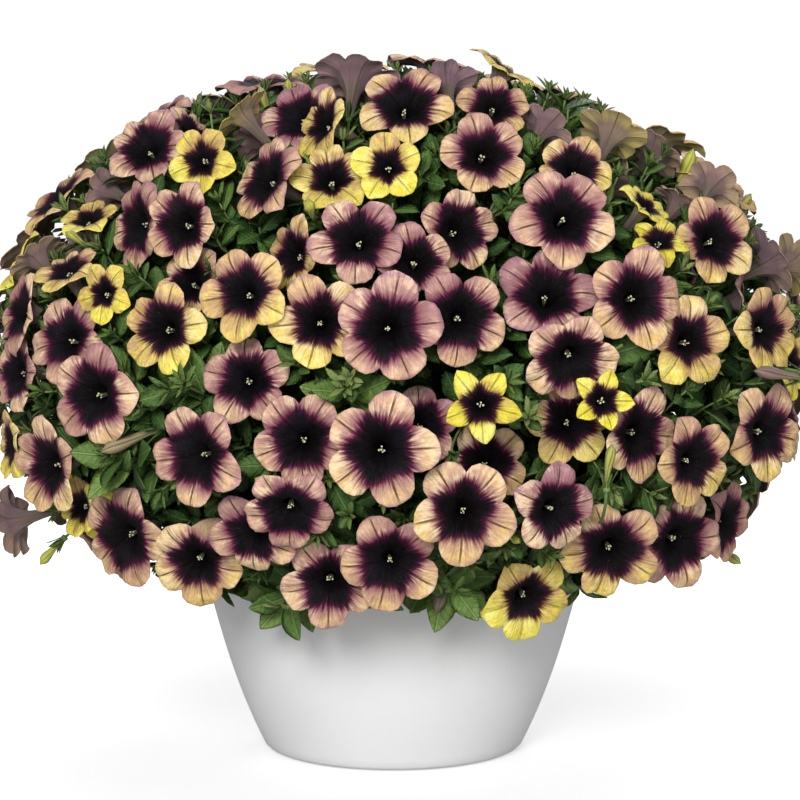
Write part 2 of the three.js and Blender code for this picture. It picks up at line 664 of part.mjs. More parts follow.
function leafySolid(shoot) {
  const rings = leafyRings(shoot.path);
  const across = acrossOf(shoot.path);
  const points = [];
  const triangles = [];
  for (const { at, twist = 0 } of rings) {
    const [place, axis] = onPath(shoot.path, at);
    const radius = LEAFY_STEM_RADIUS * (1 - 0.4 * at);
    points.push(...ring(place, axis, across, radius, WHORL, ((1 + twist) * Math.PI) / WHORL));
  }
  for (let i = 0; i + 1 < rings.length; i++) {
    for (let k = 0; k < WHORL; k++) {
      const next = (k + 1) % WHORL;
      const corners = [i * WHORL + k, i * WHORL + next, (i + 1) * WHORL + next, (i + 1) * WHORL + k];
      const leaf = shoot.leaves.find((l) => l.whorl === rings[i].whorl && l.place === k);
      const [a, b, c, d] = corners;
      if (leaf) growLeaf(points, triangles, leaf, corners);
      else triangles.push([a, b, c], [a, c, d]);
    }
  }
  const last = (rings.length - 1) * WHORL;
  triangles.push([0, 2, 1], [last, last + 1, last + 2]);
  return solidFrom(points, triangles);
}

function distanceToPath(p, path) {
  let least = Infinity;
  for (let i = 0; i + 1 < path.length; i++) {
    const line = new THREE.Line3(path[i], path[i + 1]);
    least = Math.min(least, line.closestPointToPoint(p, true, new THREE.Vector3()).distanceTo(p));
  }
  return least;
}

// Whether a point lies before a bloom's face, where a leaf would hide it.
function inFront(p, bloom) {
  const d = p.clone().sub(bloom.centre);
  const height = d.dot(bloom.face);
  const out = Math.sqrt(Math.max(0, d.lengthSq() - height * height));
  return height > 0 && height < OPEN_VIEW[0] && out < OPEN_VIEW[1] * bloom.radius;
}

function nearRim(p, air) {
  const out = Math.hypot(p.x, p.y);
  return p.z < POT_HEIGHT + air && out > RIM_RADIUS - POT_WALL - air && out < RIM_RADIUS + air;
}

function leafyTips() {
  const tips = LEAFY_SEEN.map(([across, down]) => {
    const along = sightLine(across, down);
    return EYE.clone().addScaledVector(along, meetMound(along) + LEAFY_DEPTH);
  });
  for (let i = 0; i < LEAFY_ROUND_BACK; i++) {
    const z = 1 - (2 * i + 1) / LEAFY_ROUND_BACK;
    const turn = radians(i * GOLDEN_TURN + 70);
    const flat = Math.sqrt(1 - z * z) * (MOUND_RADIUS - LEAFY_DEPTH);
    const half = z > 0 ? MOUND_UP : MOUND_DOWN;
    const height = MOUND_MIDDLE + z * (half - LEAFY_DEPTH);
    const tip = new THREE.Vector3(flat * Math.cos(turn), flat * Math.sin(turn), height);
    const inSight = moundNormal(tip).dot(EYE.clone().sub(tip).normalize()) > LEAFY_GRAZING;
    if (tip.z > LOWEST_BLOOM && !inSight) tips.push(tip);
  }
  return tips;
}

function apart(p, leaves, distance) {
  return leaves.every((leaf) => leaf.points.every((q) => p.distanceTo(q) > distance));
}

function clearOfStems(p, leafy) {
  return leafy.every((other) => distanceToPath(p, other.path) > STEMS_APART);
}

function leafyStems(blooms, shoots) {
  const stems = [...shoots.map((shoot) => shoot.path), ...blooms.map((bloom) => [bloom.root, bloom.foot])];
  const leafy = [];
  const leaves = [];
  const free = (p, air) =>
    !nearRim(p, air) &&
    !blooms.some((bloom) => inBloom(p, bloom, air)) &&
    !stems.some((path) => distanceToPath(p, path) < air + 1.2);
  const roomForLeaf = (p) => free(p, LEAF_AIR) && !blooms.some((bloom) => inFront(p, bloom));
  for (const tip of leafyTips()) {
    const rise = Math.asin(tip.clone().sub(CROWN).normalize().z) / (Math.PI / 2);
    const holeRadius = LOW_HOLE * (1 - Math.max(0, rise)) + 12;
    const turn = Math.atan2(tip.y, tip.x);
    for (const sway of SWAYS) {
      const path = stemPath(turn + radians(sway), holeRadius, tip);
      const along = Array.from({ length: 90 }, (_, i) => onPath(path.slice(1), (i + 1) / 90)[0]);
      const clearOfLeafy = along.every((p) => clearOfStems(p, leafy));
      const clearOfLeaves = along.every((p) => apart(p, leaves, STEM_FROM_LEAF));
      const holeClear = [...shoots, ...leafy].every(
        (other) => other.path[0].distanceTo(path[0]) > HOLES_APART,
      );
      if (!holeClear || !clearOfLeafy || !clearOfLeaves || !along.every((p) => free(p, STEM_AIR))) continue;
      leafy.push({ path, leaves: leavesOf(path, leafy, leaves, roomForLeaf) });
      break;
    }
  }
  return leafy.filter((shoot) => shoot.leaves.length >= FEWEST_LEAVES);
}

function leavesOf(path, leafy, leaves, roomForLeaf) {
  const own = [];
  const across = acrossOf(path);
  for (const ringHere of leafyRings(path)) {
    if (ringHere.whorl === undefined) continue;
    const [base, axis] = onPath(path, ringHere.at);
    const corners = ring(base, axis, across, 1, WHORL, ((1 + ringHere.twist) * Math.PI) / WHORL);
    for (let place = 0; place < WHORL; place++) {
      const middle = corners[place].clone().add(corners[(place + 1) % WHORL]).multiplyScalar(0.5);
      const out = middle.sub(base).applyAxisAngle(axis, draw(-0.3, 0.3)).normalize();
      const youngest = ringHere.whorl === WHORLS - 1;
      const along = axis.clone().addScaledVector(out, youngest ? 0.9 : 1.5).normalize();
      const size = draw(0.85, 1.15) * (youngest ? 0.8 : 1);
      const leaf = { whorl: ringHere.whorl, place, base: base.clone(), axis, out, along, size };
      leaf.points = LEAF_FEELERS.map(([s, a]) =>
        leafPoint(leaf, s, a, (2 * Math.abs(a) - (s === 1)) * LEAF_FOLD * 0.6),
      );
      const clear = leaf.points.every(
        (p) => apart(p, leaves, LEAVES_APART) && clearOfStems(p, leafy) && roomForLeaf(p),
      );
      if (clear) own.push(leaf);
    }
  }
  leaves.push(...own);
  return own;
}

// The whole plant

const WHITE = new THREE.MeshStandardMaterial({ color: 0xe9e9e7, roughness: 0.45, metalness: 0 });
const EARTH = new THREE.MeshStandardMaterial({ color: 0x3a2a20, roughness: 0.95, metalness: 0 });
const GREEN = new THREE.MeshStandardMaterial({ color: 0x4c7d2e, roughness: 0.6, metalness: 0 });
const PETAL = new THREE.MeshStandardMaterial({ color: 0xc79a6b, roughness: 0.6, metalness: 0 });

const plant = new THREE.Group();
function addNode(name, solid, material) {
  const mesh = new THREE.Mesh(geometryOf(solid), material);
  mesh.name = name;
  plant.add(mesh);
}

const blooms = placeBlooms();
const shoots = flowering(blooms).filter((shoot) => shoot.blooms.length);
const leafy = leafyStems(blooms, shoots);
const numbered = (name, i) => `${name}_${String(i + 1).padStart(2, "0")}`;
addNode("pot", pot(), WHITE);
const holes = [
  ...shoots.map((shoot) => stemHole(shoot.path, STEM_RADIUS, STEM_SIDES)),
  ...leafy.map((shoot) => stemHole(shoot.path, LEAFY_STEM_RADIUS, WHORL)),
];
addNode("soil", soil(holes), EARTH);
shoots.forEach((shoot, i) => addNode(numbered("flowering_shoot", i), shootSolid(shoot), PETAL));
leafy.forEach((shoot, i) => addNode(numbered("leafy_shoot", i), leafySolid(shoot), GREEN));
export default plant;
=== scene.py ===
"""The looks of a petunia in a white bowl planter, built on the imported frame.

The blooms and leafy shoots stand where the frame's own rule places them: the rule is repeated here,
in millimetres, and every mesh is made in metres.
"""

import math

import bpy
import numpy as np
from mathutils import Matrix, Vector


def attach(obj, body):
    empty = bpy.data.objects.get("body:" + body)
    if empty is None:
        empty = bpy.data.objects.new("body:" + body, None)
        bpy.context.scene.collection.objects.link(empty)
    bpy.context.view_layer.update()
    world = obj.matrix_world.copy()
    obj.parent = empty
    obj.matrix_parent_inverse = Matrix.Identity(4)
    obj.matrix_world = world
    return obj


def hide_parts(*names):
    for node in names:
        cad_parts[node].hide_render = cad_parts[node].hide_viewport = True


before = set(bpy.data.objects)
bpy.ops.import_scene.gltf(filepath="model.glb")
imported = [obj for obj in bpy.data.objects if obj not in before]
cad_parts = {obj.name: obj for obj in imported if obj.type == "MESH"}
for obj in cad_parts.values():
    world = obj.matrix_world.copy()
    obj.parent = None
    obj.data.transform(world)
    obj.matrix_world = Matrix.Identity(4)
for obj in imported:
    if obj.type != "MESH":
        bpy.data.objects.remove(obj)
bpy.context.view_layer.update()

# Pot
POT_HEIGHT = 136.0
RIM_RADIUS = 133.0
FOOT_RADIUS = 88.0
SIDE_PULL = (113.8, 48.7)
POT_WALL = 4.0
POT_FLOOR = 5.0
POT_COLUMNS = 112
DRAIN_HOLES = 4
DRAIN_RADIUS = 5.0
DRAIN_RING = 55.0
SOIL_TOP = 122.0
SOIL_GAP = 0.3
SOIL_COLUMNS = 120
HOLE_DEPTH = 30.0

# Mound that the blooms lie on
MOUND_MIDDLE = 264.0
MOUND_RADIUS = 284.0
MOUND_UP = 212.0
MOUND_DOWN = 188.0
LOWEST_BLOOM = 136.0
CROWN = np.array([0.0, 0.0, 150.0])

# Blooms
BLOOM_DIAMETER = 70.0
LOBES = 5
LOBE_ANGLE = 360 / LOBES
BLOOMS_APART = 48.0  # from one that the photograph shows to one that it doesn't
YELLOW_CHANCE = 0.12
LIMB_CUP = 0.15
THROAT_DEPTH = 0.58
TUBE_LENGTH = 34.0
TUBE_RADIUS = 2.7
AIR = 4.0  # room kept round a bloom
TUBE_ROOM = 1.2  # the room for the funnel and the tube, as shares of their lengths
FUNNEL_ROOM = 1.3
FUNNEL_RADIUS = 6
STAR_COLOUR = 1.1  # young yellow blooms, above this, have narrow pointed lobes
INWARDS = np.arange(0, 110.1, 2.5)  # depths that a bloom tries until it is clear of the others
FEELERS = ((0.95, 20), (0.7, 14), (0.42, 8))  # points that stand for a bloom: share of radius, how many
TUBE_FEELERS = np.array([-0.3, -0.6, -1, -1.4])

# Stems and leaves
SHOOT_RINGS = ((8, 1, 0), (9, 24, 20), (6, 48, 10), (1, 86, 0))
SHOOT_REACH = (150.0, 118.0)
SHOOT_LIFT = 16
SHARING_ROUNDS = 8
SHOOT_PULL = 0.4  # how far a shoot turns to each of its blooms in a round
FIRST_ROOT = 0.97  # share of a shoot's top where its first bloom's stem leaves
ROOTS_OVER = 0.6  # and the share that the others spread over
HOLE_FOOT = 2
MOUTH_UP = 6
STEM_RISE = 0.42
STEM_ARRIVAL = 0.3
MOST_BLOOMS = 9
LOW_HOLE = 94.0
STEM_RADIUS = 2.5
LEAF_LENGTH = 38.0
LEAF_WIDTH = 21.0
LEAF_FOLD = 2.0
LEAF_AIR = 3.6
LEAVES_APART = 12.0
OPEN_VIEW = (60.0, 0.9)  # no leaf stands before a bloom's face: how far out, share of its radius
LEAFY_STEM_RADIUS = 1.9
LEAFY_HOLE_OUT = 12
LEAFY_STEPS = 90  # points along a leafy stem that have to be clear
WHORL = 3
WHORLS = 4
WHORL_SPACING = 13.0
LEAFY_DEPTH = 14.0
FEWEST_LEAVES = 4
SWAYS = (0, 4, -4, 8, -8, 12, -12, 16, -16)  # turns that a leafy stem tries, in degrees
STEM_AIR = 2.6
STEM_FROM_LEAF = 9.0
STEMS_APART = 6.0
HOLES_APART = 9.0
GOLDEN_TURN = 137.508
ROUND_BACK_SHARE = 0.975
GRAZING = 0.24
LEAFY_GRAZING = 0.02
ROUND_BACK = 176
LEAFY_ROUND_BACK = 30
SEED = 20261

# The photograph's view: middle and focal length in pixels, places in millimetres, pitch in degrees
MIDDLE = 400.0
PHOTO_EDGES = (4, 796)
AXIS_ACROSS = 393.5
FOCAL = 3143.0
DISTANCE = 2146.0
EYE_HEIGHT = 484.0
PITCH = 6.5

# Blooms that the photograph shows: across, down and greatest width in pixels, then the way the face
# looks in degrees (right of the viewer, up), then its colour from 0, mauve, to 1, yellow.
SEEN = (
    (388, 328, 110, -2, 8, 0.28), (380, 450, 116, -3, 4, 0.45), (464, 512, 108, 5, 2, 0.55),
    (565, 217, 107, 12, 20, 0.38), (243, 293, 97, -22, 12, 0.72), (637, 298, 103, 18, 10, 0.52),
    (319, 322, 98, -8, 10, 0.7), (196, 563, 97, -14, -14, 0.62), (390, 563, 103, 3, -8, 0.5),
    (612, 552, 105, 10, -14, 0.68), (528, 600, 95, 24, -20, 0.95), (289, 512, 95, -4, -28, 0.3),
    (300, 440, 103, -10, 5, 0.35), (195, 455, 106, -34, 0, 0.4), (162, 329, 95, -26, 8, 0.8),
    (92, 395, 105, -32, 2, 0.4), (65, 338, 95, -34, 16, 0.42), (47, 466, 102, -50, -4, 0.52),
    (122, 538, 106, -38, -10, 0.5), (329, 584, 98, -6, -12, 0.38), (252, 536, 90, -18, -18, 0.42),
    (681, 542, 103, 32, -8, 0.4), (729, 522, 88, 62, -6, 0.4), (556, 510, 94, 28, -4, 0.2),
    (487, 465, 90, 10, 8, 0.6), (481, 405, 82, 0, 6, 1.2), (603, 400, 66, 12, 16, 1.2),
    (570, 424, 92, 10, 6, 0.72), (640, 434, 98, 38, 0, 0.5), (695, 462, 95, 36, 0, 0.68),
    (768, 432, 101, 40, 0, 0.6), (571, 360, 98, 8, -22, 0.42), (547, 293, 106, 4, 32, 0.12),
    (716, 240, 93, 28, 16, 0.62), (691, 342, 94, 26, 6, 0.78), (768, 330, 92, 44, 6, 0.76),
    (461, 318, 100, 14, 6, 0.38), (357, 238, 99, -6, 28, 0.2), (415, 260, 84, 4, 28, 0.35),
    (460, 230, 90, 28, 14, 0.42), (484, 153, 92, 8, 26, 0.48), (405, 104, 97, 0, 42, 0.62),
    (387, 166, 72, -4, 18, 0.96), (330, 178, 84, -10, 36, 0.84), (245, 380, 94, -14, 10, 0.3),
    (291, 256, 84, -50, 10, 0.75), (264, 178, 94, -52, 26, 0.5), (181, 224, 88, -34, 8, 0.46),
    (321, 124, 78, -58, 22, 0.8), (300, 116, 90, -24, 36, 0.12), (135, 224, 95, -56, 6, 0.42),
    (147, 147, 86, -22, 34, 0.32), (200, 160, 72, -24, 16, 0.98), (494, 105, 78, 8, 38, 0.62),
    (576, 168, 80, 14, 34, 0.74), (190, 283, 78, -30, 22, 0.62), (102, 293, 64, -32, 10, 1.0),
    (88, 217, 64, -30, 62, 0.86), (66, 268, 72, -42, 56, 0.72), (19, 311, 86, -64, 14, 0.4),
    (15, 372, 84, -56, 6, 0.3), (79, 507, 64, -48, 4, 1.0), (420, 425, 84, 4, 12, 0.18),
    (660, 238, 66, 12, 48, 1.2), (665, 374, 72, 88, 4, 0.42), (745, 300, 72, 82, 10, 0.2),
    (690, 277, 70, 60, -40, 0.3), (770, 262, 78, 118, 22, 0.25), (355, 76, 90, 170, 52, 0.2),
    (507, 67, 76, 82, 54, 0.84), (445, 84, 66, 190, 36, 0.14), (612, 132, 76, 150, 44, 0.8),
    (545, 128, 62, 150, 30, 0.28), (240, 114, 66, -110, 44, 0.84), (258, 140, 58, -150, 14, 0.28),
    (192, 132, 64, 58, 34, 0.3), (38, 256, 66, -130, 46, 0.5), (85, 247, 58, -158, 18, 0.3),
    (108, 190, 60, -142, 14, 0.3), (648, 204, 62, 58, 46, 1.0), (628, 186, 64, 100, 12, 0.6),
    (711, 186, 62, 160, 22, 0.5), (680, 202, 62, 120, 46, 0.5), (655, 152, 66, 130, 36, 0.4),
    (794, 264, 66, 120, 12, 0.72), (796, 366, 70, 60, 2, 1.0), (8, 445, 76, -70, 0, 0.8),
    (12, 522, 76, -108, -16, 0.3), (797, 312, 84, 72, 6, 0.5),
)
LEAFY_SEEN = (
    (185, 385), (345, 388), (503, 338), (520, 262), (660, 520), (742, 385), (280, 606), (455, 590),
    (110, 455), (330, 225), (600, 600), (622, 345),
)

# The rule that places blooms and shoots, as in the frame's source

draw_state = SEED


def draw(low, high):
    global draw_state
    draw_state = (draw_state * 1664525 + 1013904223) % 2**32
    return low + (high - low) * draw_state / 2**32


def unit(v):
    v = np.asarray(v, float)
    return v / np.sqrt((v * v).sum(-1, keepdims=True))


def length_of(v):
    return np.sqrt((np.asarray(v) ** 2).sum(-1))


def outside_mound(p):
    z = p[..., 2] - MOUND_MIDDLE
    half = np.where(z > 0, MOUND_UP, MOUND_DOWN)
    return (p[..., 0] ** 2 + p[..., 1] ** 2) / MOUND_RADIUS**2 + (z / half) ** 2 - 1


def mound_normal(p):
    z = p[2] - MOUND_MIDDLE
    half = MOUND_UP if z > 0 else MOUND_DOWN
    return unit([p[0] / MOUND_RADIUS**2, p[1] / MOUND_RADIUS**2, z / half**2])


def over_mound(count, first, share=1.0, inset=0.0):
    """Places spread evenly over the mound, drawn in by a share of its size or by a depth."""
    for i in range(count):
        z = 1 - (2 * i + 1) / count
        turn = math.radians(i * GOLDEN_TURN + first)
        flat = math.sqrt(1 - z * z) * (MOUND_RADIUS * share - inset)
        high = z * ((MOUND_UP if z > 0 else MOUND_DOWN) * share - inset)
        yield np.array([flat * math.cos(turn), flat * math.sin(turn), MOUND_MIDDLE + high])


EYE = np.array([(MIDDLE - AXIS_ACROSS) * DISTANCE / FOCAL, -DISTANCE, EYE_HEIGHT])
TILT = math.radians(PITCH)
LOOK = np.array([0, math.cos(TILT), -math.sin(TILT)])
LOOK_UP = np.array([0, math.sin(TILT), math.cos(TILT)])


def sight_line(across, down):
    return unit(LOOK * FOCAL + LOOK_UP * (MIDDLE - down) + np.array([across - MIDDLE, 0, 0]))


def seen_at(p):
    d = p - EYE
    depth = d @ LOOK
    return MIDDLE + FOCAL * d[0] / depth, MIDDLE - FOCAL * (d @ LOOK_UP) / depth, depth


def meet_mound(along):
    """How far along a line of sight the mound begins, or where the line passes nearest to it."""
    first = DISTANCE - 2 * MOUND_RADIUS
    steps = np.arange(first, DISTANCE + 2 * MOUND_RADIUS, 5.0)
    values = outside_mound(EYE + along * steps[:, None])
    inside = np.nonzero(values < 0)[0]
    if not len(inside):
        return steps[int(np.argmin(values))]
    low, high = steps[inside[0]] - 5.0, steps[inside[0]]
    for _ in range(30):
        half = (low + high) / 2
        if outside_mound(EYE + along * half) < 0:
            high = half
        else:
            low = half
    return high


def facing(right, up):
    a, e = math.radians(right), math.radians(up)
    return np.array([math.sin(a) * math.cos(e), -math.cos(a) * math.cos(e), math.sin(e)])


def square_to(axis):
    side = np.array([0, 0, 1.0]) if abs(axis[2]) < 0.9 else np.array([1.0, 0, 0])
    right = unit(np.cross(side, axis))
    return right, np.cross(axis, right)


class Bloom:
    def __init__(self, centre, face, radius, colour, turn):
        self.centre, self.face, self.radius = centre, face, radius
        self.colour, self.turn = colour, turn
        right, over = square_to(face)
        points = []
        for share_out, count in FEELERS:
            turns = 2 * np.pi * np.arange(count) / count
            ring_points = np.outer(np.cos(turns), right) + np.outer(np.sin(turns), over)
            points.append(share_out * radius * ring_points - face * LIMB_CUP * radius * (1 - share_out))
        points.append(np.outer(TUBE_FEELERS, face) * TUBE_LENGTH)
        self.feel = np.concatenate(points)


def in_bloom(p, centre, face, radius, air):
    """Whether points lie in the room that blooms take; the arguments broadcast together."""
    d = p - centre
    height = (d * face).sum(-1)
    out = np.sqrt(np.maximum(0, (d * d).sum(-1) - height**2))
    reach = out / radius
    surface = -LIMB_CUP * radius * (1 - reach) - 1
    limb = (reach < 1 + air / radius) & (np.abs(height - surface) < air)
    funnel = (height < 0) & (height > -THROAT_DEPTH * radius * FUNNEL_ROOM) & (out < FUNNEL_RADIUS + air)
    tube = (height <= 0) & (height > -TUBE_ROOM * TUBE_LENGTH) & (out < TUBE_RADIUS + air)
    return limb | funnel | tube


class Room:
    """The room that a set of blooms takes, for many points at once."""

    def __init__(self, blooms):
        self.centres = np.array([b.centre for b in blooms]).reshape(-1, 3)
        self.faces = np.array([b.face for b in blooms]).reshape(-1, 3)
        self.radii = np.array([b.radius for b in blooms])

    def holds(self, p, air):
        p = np.atleast_2d(p)[:, None, :]
        return in_bloom(p, self.centres, self.faces, self.radii, air).any(1)

    def before(self, p):
        """Whether points lie before a bloom's face, where a leaf would hide it."""
        d = np.atleast_2d(p)[:, None, :] - self.centres
        height = (d * self.faces).sum(-1)
        out = np.sqrt(np.maximum(0, (d * d).sum(-1) - height**2))
        return ((height > 0) & (height < OPEN_VIEW[0]) & (out < OPEN_VIEW[1] * self.radii)).any(1)


def place_blooms():
    placed, centres, faces, radii, feels = [], [], [], [], []

    def clash(bloom, centre):
        if not placed:
            return False
        c, r = np.array(centres), np.array(radii)
        near = np.nonzero(length_of(centre - c) <= bloom.radius + r + TUBE_ROOM * TUBE_LENGTH)[0]
        if not len(near):
            return False
        f, points = np.array(faces)[near], np.array(feels)[near]
        own = (bloom.feel + centre)[:, None, :]
        if in_bloom(own, c[near], f, r[near], AIR).any():
            return True
        return bool(in_bloom(points, centre, bloom.face, bloom.radius, AIR).any())

    def settle(bloom, inwards):
        for depth in INWARDS:
            centre = bloom.centre + inwards * depth
            if not clash(bloom, centre):
                bloom.centre = centre
                placed.append(bloom)
                centres.append(centre)
                faces.append(bloom.face)
                radii.append(bloom.radius)
                feels.append(bloom.feel + centre)
                return

    for across, down, wide, right, up, colour in SEEN:
        along = sight_line(across, down)
        centre = EYE + along * meet_mound(along)
        radius = wide * seen_at(centre)[2] / FOCAL / 2
        settle(Bloom(centre, facing(right, up), radius, colour, draw(0, LOBE_ANGLE)), along)
    shown = len(placed)
    for centre in over_mound(ROUND_BACK, 0, share=ROUND_BACK_SHARE):
        normal = mound_normal(centre)
        in_sight = normal @ unit(EYE - centre) > GRAZING
        wobble = np.array([draw(-0.3, 0.3), draw(-0.3, 0.3), draw(0, 0.4)])
        radius = BLOOM_DIAMETER / 2 * draw(0.86, 1.05)
        colour = 1.0 if draw(0, 1) < YELLOW_CHANCE else draw(0.15, 0.85)
        lobe_turn = draw(0, LOBE_ANGLE)
        if centre[2] < LOWEST_BLOOM or (in_sight and PHOTO_EDGES[0] < seen_at(centre)[0] < PHOTO_EDGES[1]):
            continue
        if (length_of(np.array(centres[:shown]) - centre) < BLOOMS_APART).any():
            continue
        settle(Bloom(centre, unit(normal + wobble), radius, colour, lobe_turn), -normal)
    return placed


def curve_through(start, second, third, end, count):
    """Points along a smooth curve that leaves start towards second and reaches end from third."""
    t = np.linspace(0, 1, count)[:, None]
    return (1 - t) ** 3 * start + 3 * t * (1 - t) ** 2 * second + 3 * t**2 * (1 - t) * third + t**3 * end


def stem_path(turn, hole_radius, last):
    out = np.array([math.cos(turn), math.sin(turn), 0])
    up = np.array([0, 0, 1.0])
    bottom = out * hole_radius + up * (SOIL_TOP - HOLE_DEPTH + HOLE_FOOT)
    mouth = out * hole_radius + up * (SOIL_TOP + MOUTH_UP)
    rise = length_of(last - mouth)
    second = mouth + up * STEM_RISE * rise
    third = last - unit(last - CROWN) * STEM_ARRIVAL * rise
    return np.vstack([bottom, curve_through(mouth, second, third, last, 4)])


def on_path(path, share):
    steps = length_of(np.diff(path, axis=0))
    rest = share * steps.sum()
    i = 0
    while i + 1 < len(steps) and rest > steps[i]:
        rest -= steps[i]
        i += 1
    way = unit(path[i + 1] - path[i])
    return path[i] + way * rest, way


def across_of(path):
    return unit(np.cross([0, 0, 1.0], path[-1] - path[0]))


def angle_between(a, b):
    return math.acos(max(-1.0, min(1.0, float(a @ b) / math.sqrt(float(a @ a) * float(b @ b)))))


class Shoot:
    def __init__(self, way):
        self.way, self.blooms, self.path = way, [], None


def share_out(blooms, shoots):
    pairs = []
    for shoot in shoots:
        shoot.blooms = []
        pairs += [(angle_between(shoot.way, bloom.away), shoot, bloom) for bloom in blooms]
    pairs.sort(key=lambda pair: pair[0])
    given = set()
    for _, shoot, bloom in pairs:
        if id(bloom) in given or len(shoot.blooms) >= MOST_BLOOMS:
            continue
        given.add(id(bloom))
        shoot.blooms.append(bloom)


def flowering(blooms):
    shoots = []
    for count, rise, first in SHOOT_RINGS:
        for i in range(count):
            a, e = math.radians(first + 360 * i / count), math.radians(rise)
            way = [math.cos(a) * math.cos(e), math.sin(a) * math.cos(e), math.sin(e)]
            shoots.append(Shoot(np.array(way)))
    for bloom in blooms:
        bloom.foot = bloom.centre - bloom.face * TUBE_LENGTH
        bloom.away = unit(bloom.foot - CROWN)
    for _ in range(SHARING_ROUNDS):
        share_out(blooms, shoots)
        for shoot in shoots:
            for bloom in shoot.blooms:
                shoot.way = shoot.way + bloom.away * SHOOT_PULL
            shoot.way = unit(shoot.way)
    share_out(blooms, shoots)
    for shoot in shoots:
        rise = math.asin(shoot.way[2]) / (math.pi / 2)
        reach = SHOOT_REACH[0] + (SHOOT_REACH[1] - SHOOT_REACH[0]) * rise
        last = CROWN + shoot.way * reach + np.array([0, 0, SHOOT_LIFT * (1 - rise)])
        shoot.path = stem_path(math.atan2(shoot.way[1], shoot.way[0]), LOW_HOLE * (1 - rise), last)
        shoot.blooms.sort(key=lambda bloom: angle_between(shoot.way, bloom.away))
        top = shoot.path[-3:]
        for i, bloom in enumerate(shoot.blooms):
            bloom.root = on_path(top, FIRST_ROOT - ROOTS_OVER * i / max(1, len(shoot.blooms) - 1))[0]
    return [shoot for shoot in shoots if shoot.blooms]


def distance_to_path(p, path):
    p = np.atleast_2d(p)[:, None, :]
    start, step = path[:-1], np.diff(path, axis=0)
    t = np.clip(((p - start) * step).sum(-1) / (step * step).sum(-1), 0, 1)
    return length_of(start + step * t[..., None] - p).min(1)


def near_rim(p, air):
    out = np.hypot(p[..., 0], p[..., 1])
    return (p[..., 2] < POT_HEIGHT + air) & (out > RIM_RADIUS - POT_WALL - air) & (out < RIM_RADIUS + air)


def leafy_tips():
    tips = []
    for across, down in LEAFY_SEEN:
        along = sight_line(across, down)
        tips.append(EYE + along * (meet_mound(along) + LEAFY_DEPTH))
    for tip in over_mound(LEAFY_ROUND_BACK, 70, inset=LEAFY_DEPTH):
        in_sight = mound_normal(tip) @ unit(EYE - tip) > LEAFY_GRAZING
        if tip[2] > LOWEST_BLOOM and not in_sight:
            tips.append(tip)
    return tips


def whorl_rings(path):
    """For each whorl on a leafy stem: its share of the length, its number and its twist."""
    total = length_of(np.diff(path, axis=0)).sum()
    first = total - WHORLS * WHORL_SPACING
    return [((first + w * WHORL_SPACING) / total, w, w % 2) for w in range(WHORLS)]


def turned(v, axis, angle):
    cosine, sine = math.cos(angle), math.sin(angle)
    return v * cosine + np.cross(axis, v) * sine + axis * (axis @ v) * (1 - cosine)


LEAF_FEELERS = np.array([
    (0.3, 0), (0.36, 0.95), (0.36, -0.95), (0.55, 0.9), (0.55, -0.9), (0.74, 0.72), (0.74, -0.72),
    (0.55, 0), (0.8, 0), (1, 0),
])


class Leaf:
    def __init__(self, base, axis, out, along, size):
        self.base, self.axis, self.out, self.along, self.size = base, axis, out, along, size
        self.side = unit(np.cross(axis, out))
        self.up = np.cross(along, self.side)
        share, across = LEAF_FEELERS.T
        lift = (2 * np.abs(across) - (share == 1)) * LEAF_FOLD * 0.6
        self.points = (
            base
            + np.outer(share, along) * LEAF_LENGTH * size
            + np.outer(across, self.side) * LEAF_WIDTH * size / 2
            + np.outer(lift, self.up)
        )


def leaves_of(path, leafy, leaves, room_for_leaf):
    own = []
    across = across_of(path)
    for at, whorl, twist in whorl_rings(path):
        base, axis = on_path(path, at)
        right = unit(across - axis * (across @ axis))
        over = np.cross(axis, right)
        turns = 2 * np.pi * np.arange(WHORL + 1) / WHORL + (1 + twist) * np.pi / WHORL
        corners = np.outer(np.cos(turns), right) + np.outer(np.sin(turns), over)
        for place in range(WHORL):
            middle = (corners[place] + corners[place + 1]) / 2
            out = unit(turned(middle, axis, draw(-0.3, 0.3)))
            along = unit(axis + out * (0.9 if whorl == WHORLS - 1 else 1.5))
            size = draw(0.85, 1.15) * (0.8 if whorl == WHORLS - 1 else 1)
            leaf = Leaf(base, axis, out, along, size)
            apart = all(
                length_of(leaf.points[:, None] - other.points).min() > LEAVES_APART for other in leaves
            )
            clear = all((distance_to_path(leaf.points, other.path) > STEMS_APART).all() for other in leafy)
            if apart and clear and room_for_leaf(leaf.points):
                own.append(leaf)
    leaves += own
    return own


